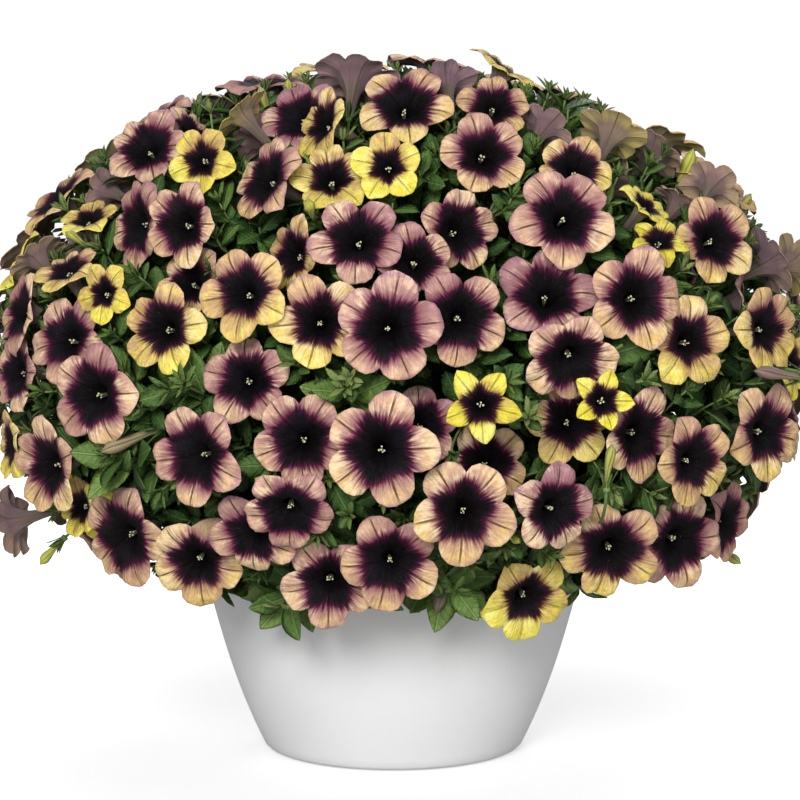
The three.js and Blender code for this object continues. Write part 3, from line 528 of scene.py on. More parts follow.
def leafy_stems(blooms, shoots):
    paths = [s.path for s in shoots] + [np.array([b.root, b.foot]) for b in blooms]
    room = Room(blooms)

    def free(p, air):
        if near_rim(p, air).any() or room.holds(p, air).any():
            return False
        return not any((distance_to_path(p, path) < air + 1.2).any() for path in paths)

    def room_for_leaf(p):
        return free(p, LEAF_AIR) and not room.before(p).any()

    leafy, leaves = [], []
    for tip in leafy_tips():
        rise = math.asin(unit(tip - CROWN)[2]) / (math.pi / 2)
        hole_radius = LOW_HOLE * (1 - max(0, rise)) + LEAFY_HOLE_OUT
        turn = math.atan2(tip[1], tip[0])
        for sway in SWAYS:
            path = stem_path(turn + math.radians(sway), hole_radius, tip)
            steps = np.arange(1, LEAFY_STEPS + 1) / LEAFY_STEPS
            along = np.array([on_path(path[1:], step)[0] for step in steps])
            hole_clear = all(length_of(other.path[0] - path[0]) > HOLES_APART for other in shoots + leafy)
            clear = all((distance_to_path(along, other.path) > STEMS_APART).all() for other in leafy)
            away = all((length_of(along[:, None] - leaf.points) > STEM_FROM_LEAF).all() for leaf in leaves)
            if not (hole_clear and clear and away and free(along, STEM_AIR)):
                continue
            stem = Shoot(None)
            stem.path = path
            stem.leaves = leaves_of(path, leafy, leaves, room_for_leaf)
            leafy.append(stem)
            break
    return [stem for stem in leafy if len(stem.leaves) >= FEWEST_LEAVES]


blooms = place_blooms()
shoots = flowering(blooms)
leafy = leafy_stems(blooms, shoots)

# Meshes: closed shells in millimetres, each with a map of its own surface and a map that holds its tone

chance = np.random.default_rng(11)
room = Room(blooms)


def smooth(x, low, high):
    t = np.clip((np.asarray(x, float) - low) / (high - low), 0, 1)
    return t * t * (3 - 2 * t)


class Shells:
    """Closed shells that together make one piece."""

    def __init__(self):
        self.parts, self.count = [], 0

    def add(self, points, corners, sizes, slot, places, tone):
        slots = np.broadcast_to(slot, len(sizes))
        tones = np.broadcast_to(tone, (len(corners), 2))
        self.parts.append((points, corners + self.count, sizes, slots, places, tones))
        self.count += len(points)

    def piece(self, name, materials):
        points, corners, sizes, slots, places, tones = (np.concatenate(x) for x in zip(*self.parts))
        mesh = bpy.data.meshes.new(name)
        mesh.vertices.add(len(points))
        mesh.vertices.foreach_set("co", (points * 0.001).astype(np.float32).ravel())
        mesh.loops.add(len(corners))
        mesh.loops.foreach_set("vertex_index", corners.astype(np.int32))
        mesh.polygons.add(len(sizes))
        starts = np.concatenate([[0], np.cumsum(sizes)[:-1]])
        mesh.polygons.foreach_set("loop_start", starts.astype(np.int32))
        mesh.polygons.foreach_set("material_index", slots.astype(np.int32))
        mesh.polygons.foreach_set("use_smooth", np.ones(len(sizes), bool))
        for layer, values in (("place", places), ("tone", tones)):
            mesh.uv_layers.new(name=layer).data.foreach_set("uv", values.astype(np.float32).ravel())
        mesh.update(calc_edges=True)
        mesh.validate()
        for material in materials:
            mesh.materials.append(material)
        made = bpy.data.objects.new(name, mesh)
        bpy.context.scene.collection.objects.link(made)
        return made


TOPOLOGY = {}


def ring_faces(rows, columns):
    """Faces of rings of points with a point that closes each end, and the row and column of each corner."""
    if (rows, columns) in TOPOLOGY:
        return TOPOLOGY[rows, columns]
    corners, row_at, column_at = [], [], []
    i = np.arange(columns)
    after = (i + 1) % columns
    for j in range(rows - 1):
        a, b = j * columns, (j + 1) * columns
        corners.append(np.stack([a + i, b + i, b + after, a + after], 1).ravel())
        row_at.append(np.tile([j, j + 1, j + 1, j], columns))
        column_at.append(np.stack([i, i, i + 1, i + 1], 1).ravel())
    first, last, end = rows * columns, rows * columns + 1, (rows - 1) * columns
    corners.append(np.stack([np.full(columns, first), i, after], 1).ravel())
    row_at.append(np.zeros(3 * columns, int))
    column_at.append(np.stack([i, i, i + 1], 1).ravel())
    corners.append(np.stack([np.full(columns, last), end + after, end + i], 1).ravel())
    row_at.append(np.full(3 * columns, rows - 1))
    column_at.append(np.stack([i, i + 1, i], 1).ravel())
    sizes = np.concatenate([np.full((rows - 1) * columns, 4), np.full(2 * columns, 3)])
    made = tuple(np.concatenate(x) for x in (corners, row_at, column_at)) + (sizes,)
    TOPOLOGY[rows, columns] = made
    return made


def fine_path(path, count):
    """A smooth line through a stem's points, starting straight up."""
    ends = np.vstack([2 * path[0] - path[1], path, 2 * path[-1] - path[-2]])
    line = []
    for i in range(1, len(ends) - 2):
        a, b, c, d = ends[i - 1 : i + 3]
        t = np.linspace(0, 1, count, endpoint=False)[:, None]
        line.append(
            0.5 * (2 * b + (c - a) * t + (2 * a - 5 * b + 4 * c - d) * t**2 + (3 * b - a - 3 * c + d) * t**3)
        )
    return np.vstack(line + [path[-1][None]])


def tube(shells, path, radii, columns, slot, tone):
    """A round closed tube along a line of points."""
    rows = len(path)
    ways = unit(np.gradient(path, axis=0))
    right, _ = square_to(ways[0])
    turns = 2 * np.pi * np.arange(columns) / columns
    points = []
    radii = np.broadcast_to(radii, rows)
    for place, way, radius in zip(path, ways, radii):
        right = unit(right - way * (right @ way))
        over = np.cross(way, right)
        circle = np.outer(np.cos(turns), right) - np.outer(np.sin(turns), over)
        points.append(place + radius * circle)
    points.append(path[0][None] - ways[0] * radii[0] * 0.3)
    points.append(path[-1][None] + ways[-1] * radii[-1] * 0.3)
    corners, row_at, column_at, sizes = ring_faces(rows, columns)
    places = np.stack([column_at / columns, row_at / (rows - 1)], 1)
    shells.add(np.vstack(points), corners, sizes, slot, places, tone)


def ball(shells, centre, axes, slot, tone, rows=2, columns=6):
    """A closed egg shape; axes are its three half axes."""
    tilts = np.pi * (np.arange(rows) + 1) / (rows + 1)
    turns = 2 * np.pi * np.arange(columns) / columns
    directions = [
        (math.sin(a) * math.cos(b), math.sin(a) * math.sin(b), math.cos(a)) for a in tilts for b in turns
    ]
    points = centre + np.array(directions + [(0, 0, 1), (0, 0, -1)]) @ np.asarray(axes)
    corners, row_at, column_at, sizes = ring_faces(rows, columns)
    places = np.stack([column_at / columns, (row_at + 1) / (rows + 1)], 1)
    shells.add(points, corners, sizes, slot, places, tone)


# Blooms

FACE, BACK, HEART, BUD = range(4)
LOBE_STEPS = (-36, -30, -22, -13, -5, 0, 5, 13, 22, 30)
COLUMNS = LOBES * len(LOBE_STEPS)
FROM_LOBE = np.array(LOBE_STEPS * LOBES, float)
LOBE_OF = np.repeat(np.arange(LOBES), len(LOBE_STEPS))
HALF_LOBE = LOBE_ANGLE / 2
MID_LOBE = np.cos(np.radians(FROM_LOBE * LOBES / 2))  # 1 at a lobe's middle, 0 at a notch
ACROSS_FACE = np.append((LOBE_ANGLE * LOBE_OF + FROM_LOBE + HALF_LOBE) / 360, 1.0)
# The face from the throat to the edge: share of the outline, height as a share of the radius
FACE_LINE = np.array([
    (0.05, -0.82), (0.08, -0.57), (0.12, -0.4), (0.18, -0.26), (0.27, -0.158), (0.4, -0.086),
    (0.54, -0.046), (0.68, -0.022), (0.8, -0.012), (0.9, -0.01), (0.965, -0.018), (1.0, -0.034),
])
# The back of the face, then the funnel down to the foot: share of the way, radius as a share and in mm
BACK_SHARES = np.array([0.965, 0.83, 0.62, 0.42])
FUNNEL = np.array([
    (0.02, 0.31, 0), (0.13, 0.235, 0), (0.32, 0.16, 0.2), (0.6, 0.09, 1.0), (1.0, 0.02, 1.8),
])
PETAL_THICK = 0.5
STAMENS = 4
FACE_ROWS = len(FACE_LINE)
BLOOM_ROWS = FACE_ROWS + 1 + len(BACK_SHARES) + len(FUNNEL)


def outline_of(bloom, lobes):
    """The petals' edge at each column, as a share of the radius."""
    from_lobe = FROM_LOBE - lobes["skew"][LOBE_OF] * MID_LOBE
    angle = np.radians(from_lobe)
    own = MID_LOBE**2
    if bloom.colour > STAR_COLOUR:
        edge = np.interp(np.abs(from_lobe), (0, 5, 12, 21, 29, 36), (1.01, 0.95, 0.875, 0.78, 0.665, 0.55))
        return edge * (1 + 0.05 * lobes["size"][LOBE_OF] * own)
    round_edge = 0.575 * np.cos(angle) + np.sqrt(0.425**2 - (0.575 * np.sin(angle)) ** 2)
    square_edge = 1 - 0.26 * np.minimum(1, np.abs(from_lobe) / HALF_LOBE) ** 3.4
    edge = round_edge + (square_edge - round_edge) * lobes["square"][LOBE_OF]
    point = lobes["point"][LOBE_OF] * np.exp(-((from_lobe / 8) ** 2))
    notch = lobes["notch"][LOBE_OF] * np.exp(-(((HALF_LOBE - np.abs(FROM_LOBE)) / 10) ** 2))
    wavy = 0.013 * np.sin(np.radians(FROM_LOBE) * 13 + lobes["wave"][LOBE_OF]) * own
    return edge * (1 + 0.05 * lobes["size"][LOBE_OF] * own) + point * 0.6 + notch + wavy


def bloom_shell(shells, bloom, tone):
    r = bloom.radius
    star = bloom.colour > STAR_COLOUR
    lobes = {
        "size": chance.uniform(-1.2, 1, LOBES),
        "skew": chance.uniform(-5, 5, LOBES),
        "square": chance.uniform(0.1, 0.95, LOBES),
        "point": np.maximum(0, chance.uniform(-0.03, 0.06, LOBES)) + (0.04 if bloom.colour > 0.9 else 0),
        "bend": np.clip(chance.normal(-0.02, 0.06, LOBES), -0.15, 0.08),
        "notch": chance.uniform(-0.07, 0.025) + chance.uniform(-0.025, 0.025, LOBES),
        "wave": chance.uniform(0, 2 * np.pi, LOBES),
        "curl": chance.uniform(-0.01, 0.09, LOBES),
        "puff": chance.uniform(0.035, 0.07, LOBES),
    }
    cup = chance.uniform(-0.05, 0.04) - (0.05 if star else 0)
    saddle, saddle_turn = chance.uniform(0, 0.045), chance.uniform(0, np.pi)
    edge = outline_of(bloom, lobes)
    theta = np.radians(bloom.turn + LOBE_ANGLE * LOBE_OF + FROM_LOBE)
    apart = np.abs(FROM_LOBE) / HALF_LOBE
    own = MID_LOBE**2
    fold = lobes["puff"][LOBE_OF] * np.sin(np.pi * apart) - 0.026 * np.exp(-((apart / 0.14) ** 2))
    fold = fold - 0.05 * np.exp(-(((1 - apart) / 0.2) ** 2))
    ruffle = np.sin(np.radians(FROM_LOBE) * 11 + lobes["wave"][LOBE_OF] * 2) * own

    def limb(share, height):
        """Points across the petals at this share of the outline."""
        spread = 1 + (edge - 1) * np.clip((share - 0.25) / 0.75, 0, 1) ** 1.2
        throat = 1 - 0.05 * np.cos(np.radians(5 * FROM_LOBE)) * (1 - smooth(share, 0.2, 0.5))
        out = r * share * spread * throat
        limb_part = smooth(share, 0.3, 0.95)
        rise = height + limb_part * (fold + lobes["bend"][LOBE_OF] * own * share)
        rise = rise + cup * share**2.5 + saddle * share**2 * np.cos(2 * theta - saddle_turn)
        rise = rise + 0.038 * ruffle * smooth(share, 0.6, 1)
        rise = rise - lobes["curl"][LOBE_OF] * own * smooth(share, 0.74, 1)
        return np.stack([out * np.cos(theta), out * np.sin(theta), r * rise], 1)

    rows = [limb(share, height) for share, height in FACE_LINE]
    rim = limb(1.004, FACE_LINE[-1, 1])
    rows.append(rim - [0, 0, PETAL_THICK / 2])
    for share in BACK_SHARES:
        back = limb(share, np.interp(share, FACE_LINE[:, 0], FACE_LINE[:, 1]))
        rows.append(back - [0, 0, PETAL_THICK * (1 + 0.5 * (1 - share))])
    top, foot = -0.17 * r - 1.2, -TUBE_LENGTH
    ribs = 1 + 0.06 * np.cos(np.radians(5 * FROM_LOBE))
    for share, wide, extra in FUNNEL:
        out = (wide * r + extra) * (ribs if share < 0.7 else 1)
        height = np.full(COLUMNS, top + (foot - top) * share)
        rows.append(np.stack([out * np.cos(theta), out * np.sin(theta), height], 1))
    pit = [0, 0, FACE_LINE[0, 1] * r]
    local = np.vstack(rows + [[pit], [[0, 0, foot - 0.6]]])
    right, over = square_to(bloom.face)
    points = bloom.centre + local @ np.array([right, over, bloom.face])
    corners, row_at, column_at, sizes = ring_faces(BLOOM_ROWS, COLUMNS)
    out = np.hypot(local[:, 0], local[:, 1]) / r
    down = np.concatenate([BACK_SHARES, 0.3 * (1 - FUNNEL[:, 0])])
    behind = np.clip(row_at - FACE_ROWS - 1, 0, len(down) - 1)
    along = np.where(row_at > FACE_ROWS, down[behind], out[corners])
    places = np.stack([ACROSS_FACE[column_at], np.clip(along, 0, 1.05) / 1.1], 1)
    first_row = np.minimum.reduceat(row_at, np.concatenate([[0], np.cumsum(sizes)[:-1]]))
    # Lobes that hang are yellower than those above the throat.
    hanging = -(np.outer(np.cos(theta), right) + np.outer(np.sin(theta), over))[:, 2]
    tints = np.maximum(0, tone[0] + 0.1 * hanging[column_at % COLUMNS])
    tones = np.stack([tints, np.full(len(corners), tone[1])], 1)
    shells.add(points, corners, sizes, np.where(first_row < FACE_ROWS, FACE, BACK), places, tones)
    # The pistil and four stamens, seen deep in the throat
    sway = chance.uniform(-0.8, 0.8, 2)
    frame_here = np.array([right, over, bloom.face])

    def inner(x, y, z):
        return bloom.centre + np.array([x + sway[0], y + sway[1], z]) @ frame_here

    start = bloom.centre - bloom.face * 0.78 * r
    for k in range(STAMENS + 1):
        pistil = k == STAMENS
        turn = np.radians(90 * k + bloom.turn) + chance.uniform(-0.5, 0.5)
        out = 0 if pistil else chance.uniform(0.9, 1.8)
        depth = -0.2 * r - (0 if pistil else chance.uniform(0.5, 3))
        head = inner(out * math.cos(turn), out * math.sin(turn), depth)
        size = chance.uniform(0.55, 0.9)
        half_axes = frame_here * size * np.array([[1], [1], [0.75]])
        ball(shells, head, half_axes, HEART, (k / (STAMENS + 1), tone[1]))
        tube(shells, np.array([start, head]), 0.28, 3, HEART, (0.9, tone[1]))


# Green parts

LEAF, STEM = range(2)
THREE_ACROSS = (-1, 0, 1)
FIVE_ACROSS = (-1, -0.5, 0, 0.5, 1)
# For each kind of leaf: share of the length and of the width, row by row, then the points across
LEAF_LINES = {
    "fine": (
        (
            (0, 0.08), (0.07, 0.11), (0.2, 0.6), (0.36, 0.93),
            (0.52, 1.0), (0.68, 0.84), (0.82, 0.56), (0.93, 0.27),
        ),
        FIVE_ACROSS,
    ),
    "rim": (((0, 0.1), (0.11, 0.4), (0.28, 0.86), (0.5, 1.0), (0.72, 0.9), (0.9, 0.55)), THREE_ACROSS),
    "plain": (((0, 0.12), (0.16, 0.45), (0.38, 0.96), (0.6, 0.98), (0.82, 0.62)), THREE_ACROSS),
    "small": (((0, 0.2), (0.2, 0.62), (0.48, 1.0), (0.76, 0.72)), THREE_ACROSS),
}
LEAF_THICK = 0.45


def leaf_faces(kind):
    """Faces of a leaf: an upper and a lower skin that share their edge."""
    if kind in TOPOLOGY:
        return TOPOLOGY[kind]
    line, across = LEAF_LINES[kind]
    rows, wide = len(line), len(across)
    inner = wide - 2
    under, tip = rows * wide, rows * wide + rows * inner

    def top(j, i):
        return j * wide + i

    def low(j, i):
        return top(j, i) if i in (0, wide - 1) else under + j * inner + i - 1

    faces = []
    for j in range(rows - 1):
        for i in range(wide - 1):
            faces.append([top(j, i), top(j, i + 1), top(j + 1, i + 1), top(j + 1, i)])
            faces.append([low(j, i), low(j + 1, i), low(j + 1, i + 1), low(j, i + 1)])
    for i in range(wide - 1):
        faces.append([top(rows - 1, i), top(rows - 1, i + 1), tip])
        faces.append([low(rows - 1, i + 1), low(rows - 1, i), tip])
    faces.append([low(0, i) for i in range(wide)] + [top(0, i) for i in range(wide - 2, 0, -1)])
    share = np.array([s for s, _ in line])
    width = np.array([w for _, w in line])
    side = np.array(across, float)
    u = np.concatenate([np.tile(side, rows), np.tile(side[1:-1], rows), [0]])
    v = np.concatenate([np.repeat(share, wide), np.repeat(share, inner), [1]])
    w = np.concatenate([np.repeat(width, wide), np.repeat(width, inner), [0]])
    below = np.concatenate([np.zeros(rows * wide), np.ones(rows * inner), [0]])
    corners = np.concatenate(faces)
    made = corners, np.array([len(f) for f in faces]), u, v, w, below
    TOPOLOGY[kind] = made
    return made


def bent(base, along, up, length, droop, share):
    """Points along a leaf's middle, which bends down by droop, and the upward direction there."""
    turn = droop * share[:, None]
    k = max(abs(droop), 1e-3)
    k = k if droop >= 0 else -k
    ahead, sunk = np.sin(k * share)[:, None] / k, (1 - np.cos(k * share))[:, None] / k
    return base + length * (along * ahead - up * sunk), up * np.cos(turn) + along * np.sin(turn)


def leaf_shell(shells, base, along, up, length, width, tone, droop=0.3, fold=0.3, kind="plain"):
    corners, sizes, u, v, w, below = leaf_faces(kind)
    side = np.cross(up, along)
    middle, lift = bent(base, along, up, length, droop, v)
    wave = 0.25 * np.sin(9 * v + 40 * tone[1]) * np.abs(u) * w
    half = (u * w * width / 2)[:, None]
    high = np.abs(half) * fold + wave[:, None] - LEAF_THICK * below[:, None]
    points = middle - half * side + lift * high
    places = np.stack([(u[corners] * w[corners] + 1) / 2, v[corners]], 1)
    shells.add(points, corners, sizes, LEAF, places, tone)


SHRINKS = (1, 0.72, 0.5)
FEEL_SHARES = np.array([0.2, 0.35, 0.4, 0.4, 0.55, 0.65, 0.65, 0.72, 0.85, 0.85, 0.92, 1.0])
FEEL_SIDES = np.array([0, 0, 0.95, -0.95, 0, 0.85, -0.85, 0, 0.45, -0.45, 0, 0])


def bowl_radius(height):
    a, b = POT_HEIGHT - 2 * SIDE_PULL[1], 2 * SIDE_PULL[1]
    t = (-b + np.sqrt(b * b + 4 * a * np.clip(height, 0, POT_HEIGHT))) / (2 * a)
    return (1 - t) ** 2 * FOOT_RADIUS + 2 * t * (1 - t) * SIDE_PULL[0] + t * t * RIM_RADIUS


def clear_of_all(p, air, skin):
    """Whether points keep clear of the petals and the pot, and stay inside the mound."""
    out = np.hypot(p[:, 0], p[:, 1])
    in_pot = (p[:, 2] < POT_HEIGHT + 1) & (out < bowl_radius(p[:, 2]) + 1.5)
    in_pot &= (out > RIM_RADIUS - POT_WALL - 2) | (p[:, 2] < SOIL_TOP + 1)
    if in_pot.any() or (outside_mound(p) > skin).any():
        return False
    return not room.holds(p, air).any()


def try_leaf(
    shells, base, axis, out, length, width, tone, droop=0.3, lean=1.3, kind="plain", skin=-0.02, air=1.9,
):
    """Grows a leaf unless it would cut through a bloom; a shorter one is tried before it is left out."""
    along = unit(axis + out * lean)
    side = unit(np.cross(axis, out))
    up = np.cross(along, side)
    for shrink in SHRINKS:
        middle, _ = bent(base, along, up, length * shrink, droop, FEEL_SHARES)
        feel = middle + side * (FEEL_SIDES * width * shrink / 2)[:, None]
        if clear_of_all(feel, air, skin) and not room.before(feel[2:]).any():
            leaf_shell(shells, base, along, up, length * shrink, width * shrink, tone, droop, 0.3, kind)
            return True
    return False


SEPALS = 5
SEPAL_WIDTH = 2.9
CALYX_RADIUS = 2.7
CALYX_HEIGHT = 2.4


def around(axis, turn):
    right, over = square_to(axis)
    return right * math.cos(turn) + over * math.sin(turn)


def sepals(shells, foot, axis, length, tone, spread=0.5, tube_radius=2.4):
    for k in range(SEPALS):
        out = around(axis, 2 * np.pi * k / SEPALS + 0.4)
        lean = spread * chance.uniform(0.8, 1.3)
        along = unit(axis + out * lean)
        up = np.cross(along, unit(np.cross(axis, out)))
        base = foot - axis * 1.5 + out * tube_radius * 0.7
        long = length * chance.uniform(0.85, 1.1)
        leaf_shell(shells, base, along, up, long, SEPAL_WIDTH, tone, 0.35, 0.2, "small")
    half_axes = [around(axis, 0) * CALYX_RADIUS, around(axis, np.pi / 2) * CALYX_RADIUS, axis * CALYX_HEIGHT]
    ball(shells, foot - axis * 1.2, half_axes, STEM, tone)


def tuft(shells, tip, axis, size, tone, count=6):
    """The young narrow leaves at a stem's tip."""
    for k in range(count):
        out = around(axis, 2.4 * k + tone[1] * 6)
        length = size * chance.uniform(0.75, 1.15)
        lean = 0.25 + 0.13 * k
        try_leaf(shells, tip, axis, out, length, length * 0.3, tone, 0.25, lean, "small", 0.0, 1.6)


# A bud from its foot to its tip: share of the length and of the radius
BUD_LINE = (
    (0, 0.5), (0.12, 0.55), (0.3, 0.5), (0.55, 0.72), (0.75, 1), (0.88, 0.82), (0.96, 0.45), (1, 0.14),
)


def bud_shell(petals, green, base, axis, length, radius, tone, stem_tone):
    rows, columns = 10, 10
    share = np.linspace(0, 1, rows)
    wide = np.interp(share, *np.transpose(BUD_LINE))
    right, over = square_to(axis)
    bend = around(axis, 30 * tone[1]) * length * 0.1
    points = []
    for s, w in zip(share, wide):
        turns = -2 * np.pi * np.arange(columns) / columns + 1.1 * s
        ridge = 1 - 0.16 * s * np.cos(5 * (turns - 1.1 * s))
        circle = np.outer(np.cos(turns) * ridge, right) + np.outer(np.sin(turns) * ridge, over)
        points.append(base + axis * length * s + bend * s * s + radius * w * circle)
    points += [[base - axis], [base + axis * (length + 0.6) + bend]]
    corners, row_at, column_at, sizes = ring_faces(rows, columns)
    places = np.stack([column_at / columns, row_at / (rows - 1)], 1)
    petals.add(np.vstack(points), corners, sizes, BUD, places, tone)
    sepals(green, base + axis * 1.5, axis, length * 0.42 + 3, stem_tone, 0.22, radius * 0.55)


# Materials


class Recipe:
    """A node-based material; sockets take numbers, colours or other nodes' outputs."""

    def __init__(self, name, **constants):
        self.material = bpy.data.materials.new(name)
        self.material.use_nodes = True
        self.tree = self.material.node_tree
        self.tree.nodes.clear()
        self.shader = self.tree.nodes.new("ShaderNodeBsdfPrincipled")
        output = self.tree.nodes.new("ShaderNodeOutputMaterial")
        self.tree.links.new(self.shader.outputs[0], output.inputs[0])
        for socket, value in constants.items():
            self.shader.inputs[socket.replace("_", " ")].default_value = value

    def put(self, socket, value):
        if isinstance(value, bpy.types.NodeSocket):
            self.tree.links.new(value, socket)
        elif isinstance(value, tuple) and len(value) == 3 and socket.type == "RGBA":
            socket.default_value = (*value, 1)
        else:
            socket.default_value = value

    def node(self, kind, inputs=(), output=0, **settings):
        node = self.tree.nodes.new("ShaderNode" + kind)
        for name, value in settings.items():
            setattr(node, name, value)
        for key, value in dict(inputs).items():
            self.put(node.inputs[key], value)
        return node.outputs[output]

    def math(self, operation, *values):
        return self.node("Math", dict(enumerate(values)), operation=operation)

    def times(self, a, b):
        return self.math("MULTIPLY", a, b)

    def plus(self, a, b):
        return self.math("ADD", a, b)

    def swing(self, value, amount):
        """A value from 0 to 1 made to swing round zero by half this amount each way."""
        return self.times(self.plus(value, -0.5), amount)

    def mix(self, factor, a, b):
        return self.node("Mix", {0: factor, 6: a, 7: b}, 2, data_type="RGBA")

    def step(self, value, low, high, out_low=0.0, out_high=1.0):
        inputs = {"Value": value, "From Min": low, "From Max": high, "To Min": out_low, "To Max": out_high}
        return self.node("MapRange", inputs, interpolation_type="SMOOTHSTEP")

    def noise(self, vector, scale, detail=2.0, roughness=0.5):
        inputs = {"Vector": vector, "Scale": scale, "Detail": detail, "Roughness": roughness}
        return self.node("TexNoise", inputs)

    def ramp(self, value, stops):
        node = self.tree.nodes.new("ShaderNodeValToRGB")
        self.put(node.inputs[0], value)
        while len(node.color_ramp.elements) < len(stops):
            node.color_ramp.elements.new(1)
        for element, (place, colour) in zip(node.color_ramp.elements, stops):
            element.position, element.color = place, (*colour, 1)
        return node.outputs[0]

    def maps(self):
        """The two maps: the place on the surface, across and along, then the tone and the seed."""
        values = []
        for layer in ("place", "tone"):
            uv = self.node("UVMap", uv_map=layer)
            values += [self.node("SeparateXYZ", {0: uv}, k) for k in (0, 1)]
        return values

    def vector(self, x, y, z):
        return self.node("CombineXYZ", {0: x, 1: y, 2: z})

    def bump(self, height, distance, strength=1.0):
        normal = self.node("Bump", {"Height": height, "Distance": distance, "Strength": strength})
        self.put(self.shader.inputs["Normal"], normal)

    def colour(self, value):
        self.put(self.shader.inputs["Base Color"], value)


def petal_places(m):
    """Values that both sides of a petal are drawn from."""
    across, out, tone, seed = m.maps()
    out = m.times(out, 1.1)
    tone = m.times(tone, 1.25)
    lobe = m.math("ABSOLUTE", m.plus(m.times(m.math("FRACT", m.times(across, float(LOBES))), 2.0), -1.0))
    turn = m.times(across, 2 * math.pi)
    cosine, sine = m.math("COSINE", turn), m.math("SINE", turn)
    shift = m.times(seed, 91.0)

    def streaks(around_count, along_count, detail=2.0):
        along = m.plus(m.times(out, along_count), shift)
        where = m.vector(m.times(cosine, around_count), m.times(sine, around_count), along)
        return m.noise(where, 1.0, detail, 0.6)

    flat = m.vector(m.times(cosine, out), m.times(sine, out), shift)
    return across, out, tone, seed, lobe, streaks, flat


def petal_face():
    m = Recipe("petal_face", Roughness=0.6, Specular_IOR_Level=0.12)
    across, out, tone, seed, lobe, streaks, flat = petal_places(m)
    fine, broad, thin = streaks(13.0, 2.4, 3.0), streaks(3.2, 1.2), streaks(34.0, 1.6, 2.0)
    blotch, cloud = m.noise(flat, 3.4, 3.0), m.noise(flat, 1.3, 1.0)
    petal_number = m.math("FLOOR", m.times(across, float(LOBES)))
    own = m.node("TexWhiteNoise", {"Vector": m.vector(petal_number, m.times(seed, 91.0), 0.0)}, 0)
    yellow = m.step(tone, 0.62, 1.0)
    # How far past the dark eye's edge: lowest at the middle of a lobe, highest at a notch
    edge = m.plus(0.495, m.times(m.math("POWER", lobe, 1.5), 0.155))
    edge = m.plus(edge, m.swing(seed, 0.07))
    edge = m.plus(edge, m.times(yellow, -0.13))
    past = m.plus(m.math("SUBTRACT", out, edge), m.swing(fine, 0.3))
    past = m.plus(past, m.swing(broad, 0.16))
    # The petal's own colour, with painted highlights and painted shade in patches
    hue = m.plus(tone, m.swing(blotch, 0.45))
    hue = m.plus(hue, m.swing(own, 0.26))
    hue = m.plus(hue, m.times(m.step(lobe, 0.8, 0.1), m.times(m.step(out, 0.5, 0.9), 0.14)))
    hue = m.plus(hue, m.times(m.step(out, 0.9, 1.02), m.times(m.step(tone, 0.95, 0.5), -0.38)))
    petal = m.ramp(m.times(hue, 0.8), (
        (0.0, (0.4, 0.2, 0.26)), (0.14, (0.5, 0.27, 0.28)), (0.26, (0.6, 0.35, 0.28)),
        (0.38, (0.7, 0.45, 0.3)), (0.5, (0.74, 0.49, 0.25)), (0.62, (0.75, 0.52, 0.19)),
        (0.74, (0.82, 0.64, 0.14)), (0.88, (0.88, 0.74, 0.1)), (1.0, (0.84, 0.73, 0.05)),
    ))
    shade = m.mix(m.step(tone, 0.5, 1.0), (0.3, 0.13, 0.14), (0.4, 0.25, 0.06))
    petal = m.mix(m.times(m.step(past, 0.34, 0.04), m.step(tone, 1.1, 0.5, 0.3, 0.9)), petal, shade)
    # Where this noise runs low the petal is darkened as painted shade, and where it runs high it is
    # lightened as a painted highlight.
    light = m.plus(m.times(blotch, 0.9), m.plus(m.times(fine, 0.6), m.times(own, 0.3)))
    petal = m.mix(m.step(light, 0.95, 0.55, 0.0, 0.5), petal, (0.28, 0.13, 0.1))
    painted_highlight = m.mix(yellow, (0.96, 0.74, 0.48), (0.97, 0.9, 0.3))
    petal = m.mix(m.step(light, 0.88, 1.15, 0.0, 0.7), petal, painted_highlight)
    plain = m.step(tone, 1.05, 0.6, 0.35, 1.0)
    lines = m.times(m.times(m.step(thin, 0.5, 0.68), m.step(out, 1.08, 0.6, 0.16, 0.5)), plain)
    petal = m.mix(lines, petal, (0.26, 0.1, 0.07))
    slant = m.math("FRACT", m.times(m.math("SUBTRACT", out, m.times(lobe, 0.5)), 8.0))
    veins = m.step(m.math("ABSOLUTE", m.plus(slant, -0.5)), 0.1, 0.02)
    petal = m.mix(m.times(veins, m.step(lobe, 0.95, 0.2, 0.0, 0.24)), petal, (0.3, 0.13, 0.08))
    rib = m.times(m.step(m.times(lobe, out), 0.034, 0.012), m.step(out, 1.03, 0.8, 0.2, 0.85))
    petal = m.mix(m.times(rib, plain), petal, (0.1, 0.035, 0.03))
    # The eye: a feathered magenta or brown band, dark purple, then almost black, with a painted sheen and
    # painted glints
    warm = m.mix(m.step(tone, 0.5, 0.95), (0.15, 0.018, 0.055), (0.11, 0.035, 0.012))
    petal = m.mix(m.step(past, 0.15, 0.0, 0.0, 0.95), petal, warm)
    night = m.mix(m.step(past, 0.0, -0.14), (0.036, 0.005, 0.02), (0.003, 0.0015, 0.0026))
    petal = m.mix(m.step(past, 0.06, -0.03), petal, night)
    # A faint bluish painted sheen in clouds over the dark eye.
    painted_sheen = m.times(m.step(past, -0.02, -0.12), m.step(cloud, 0.5, 0.75, 0.0, 0.014))
    petal = m.mix(painted_sheen, petal, (0.35, 0.3, 0.5))
    # Tiny pale specks in the dark eye: painted glints off the velvet.
    spots = m.node("TexVoronoi", {"Vector": flat, "Scale": 17.0}, 0)
    keep = m.noise(flat, 5.0, 1.0)
    painted_glint = m.times(m.step(spots, 0.1, 0.05), m.times(m.step(keep, 0.52, 0.64), m.step(past, -0.02, -0.08)))
    petal = m.mix(m.times(painted_glint, 0.4), petal, (0.42, 0.38, 0.44))
    petal = m.mix(m.step(out, 0.17, 0.08), petal, (0.004, 0.003, 0.003))
    m.colour(petal)
    folds = m.plus(m.times(fine, 0.7), m.times(thin, 0.35))
    folds = m.plus(folds, m.times(rib, -0.8))
    folds = m.plus(folds, m.times(blotch, 1.6))
    m.bump(folds, 0.0018)
    return m.material


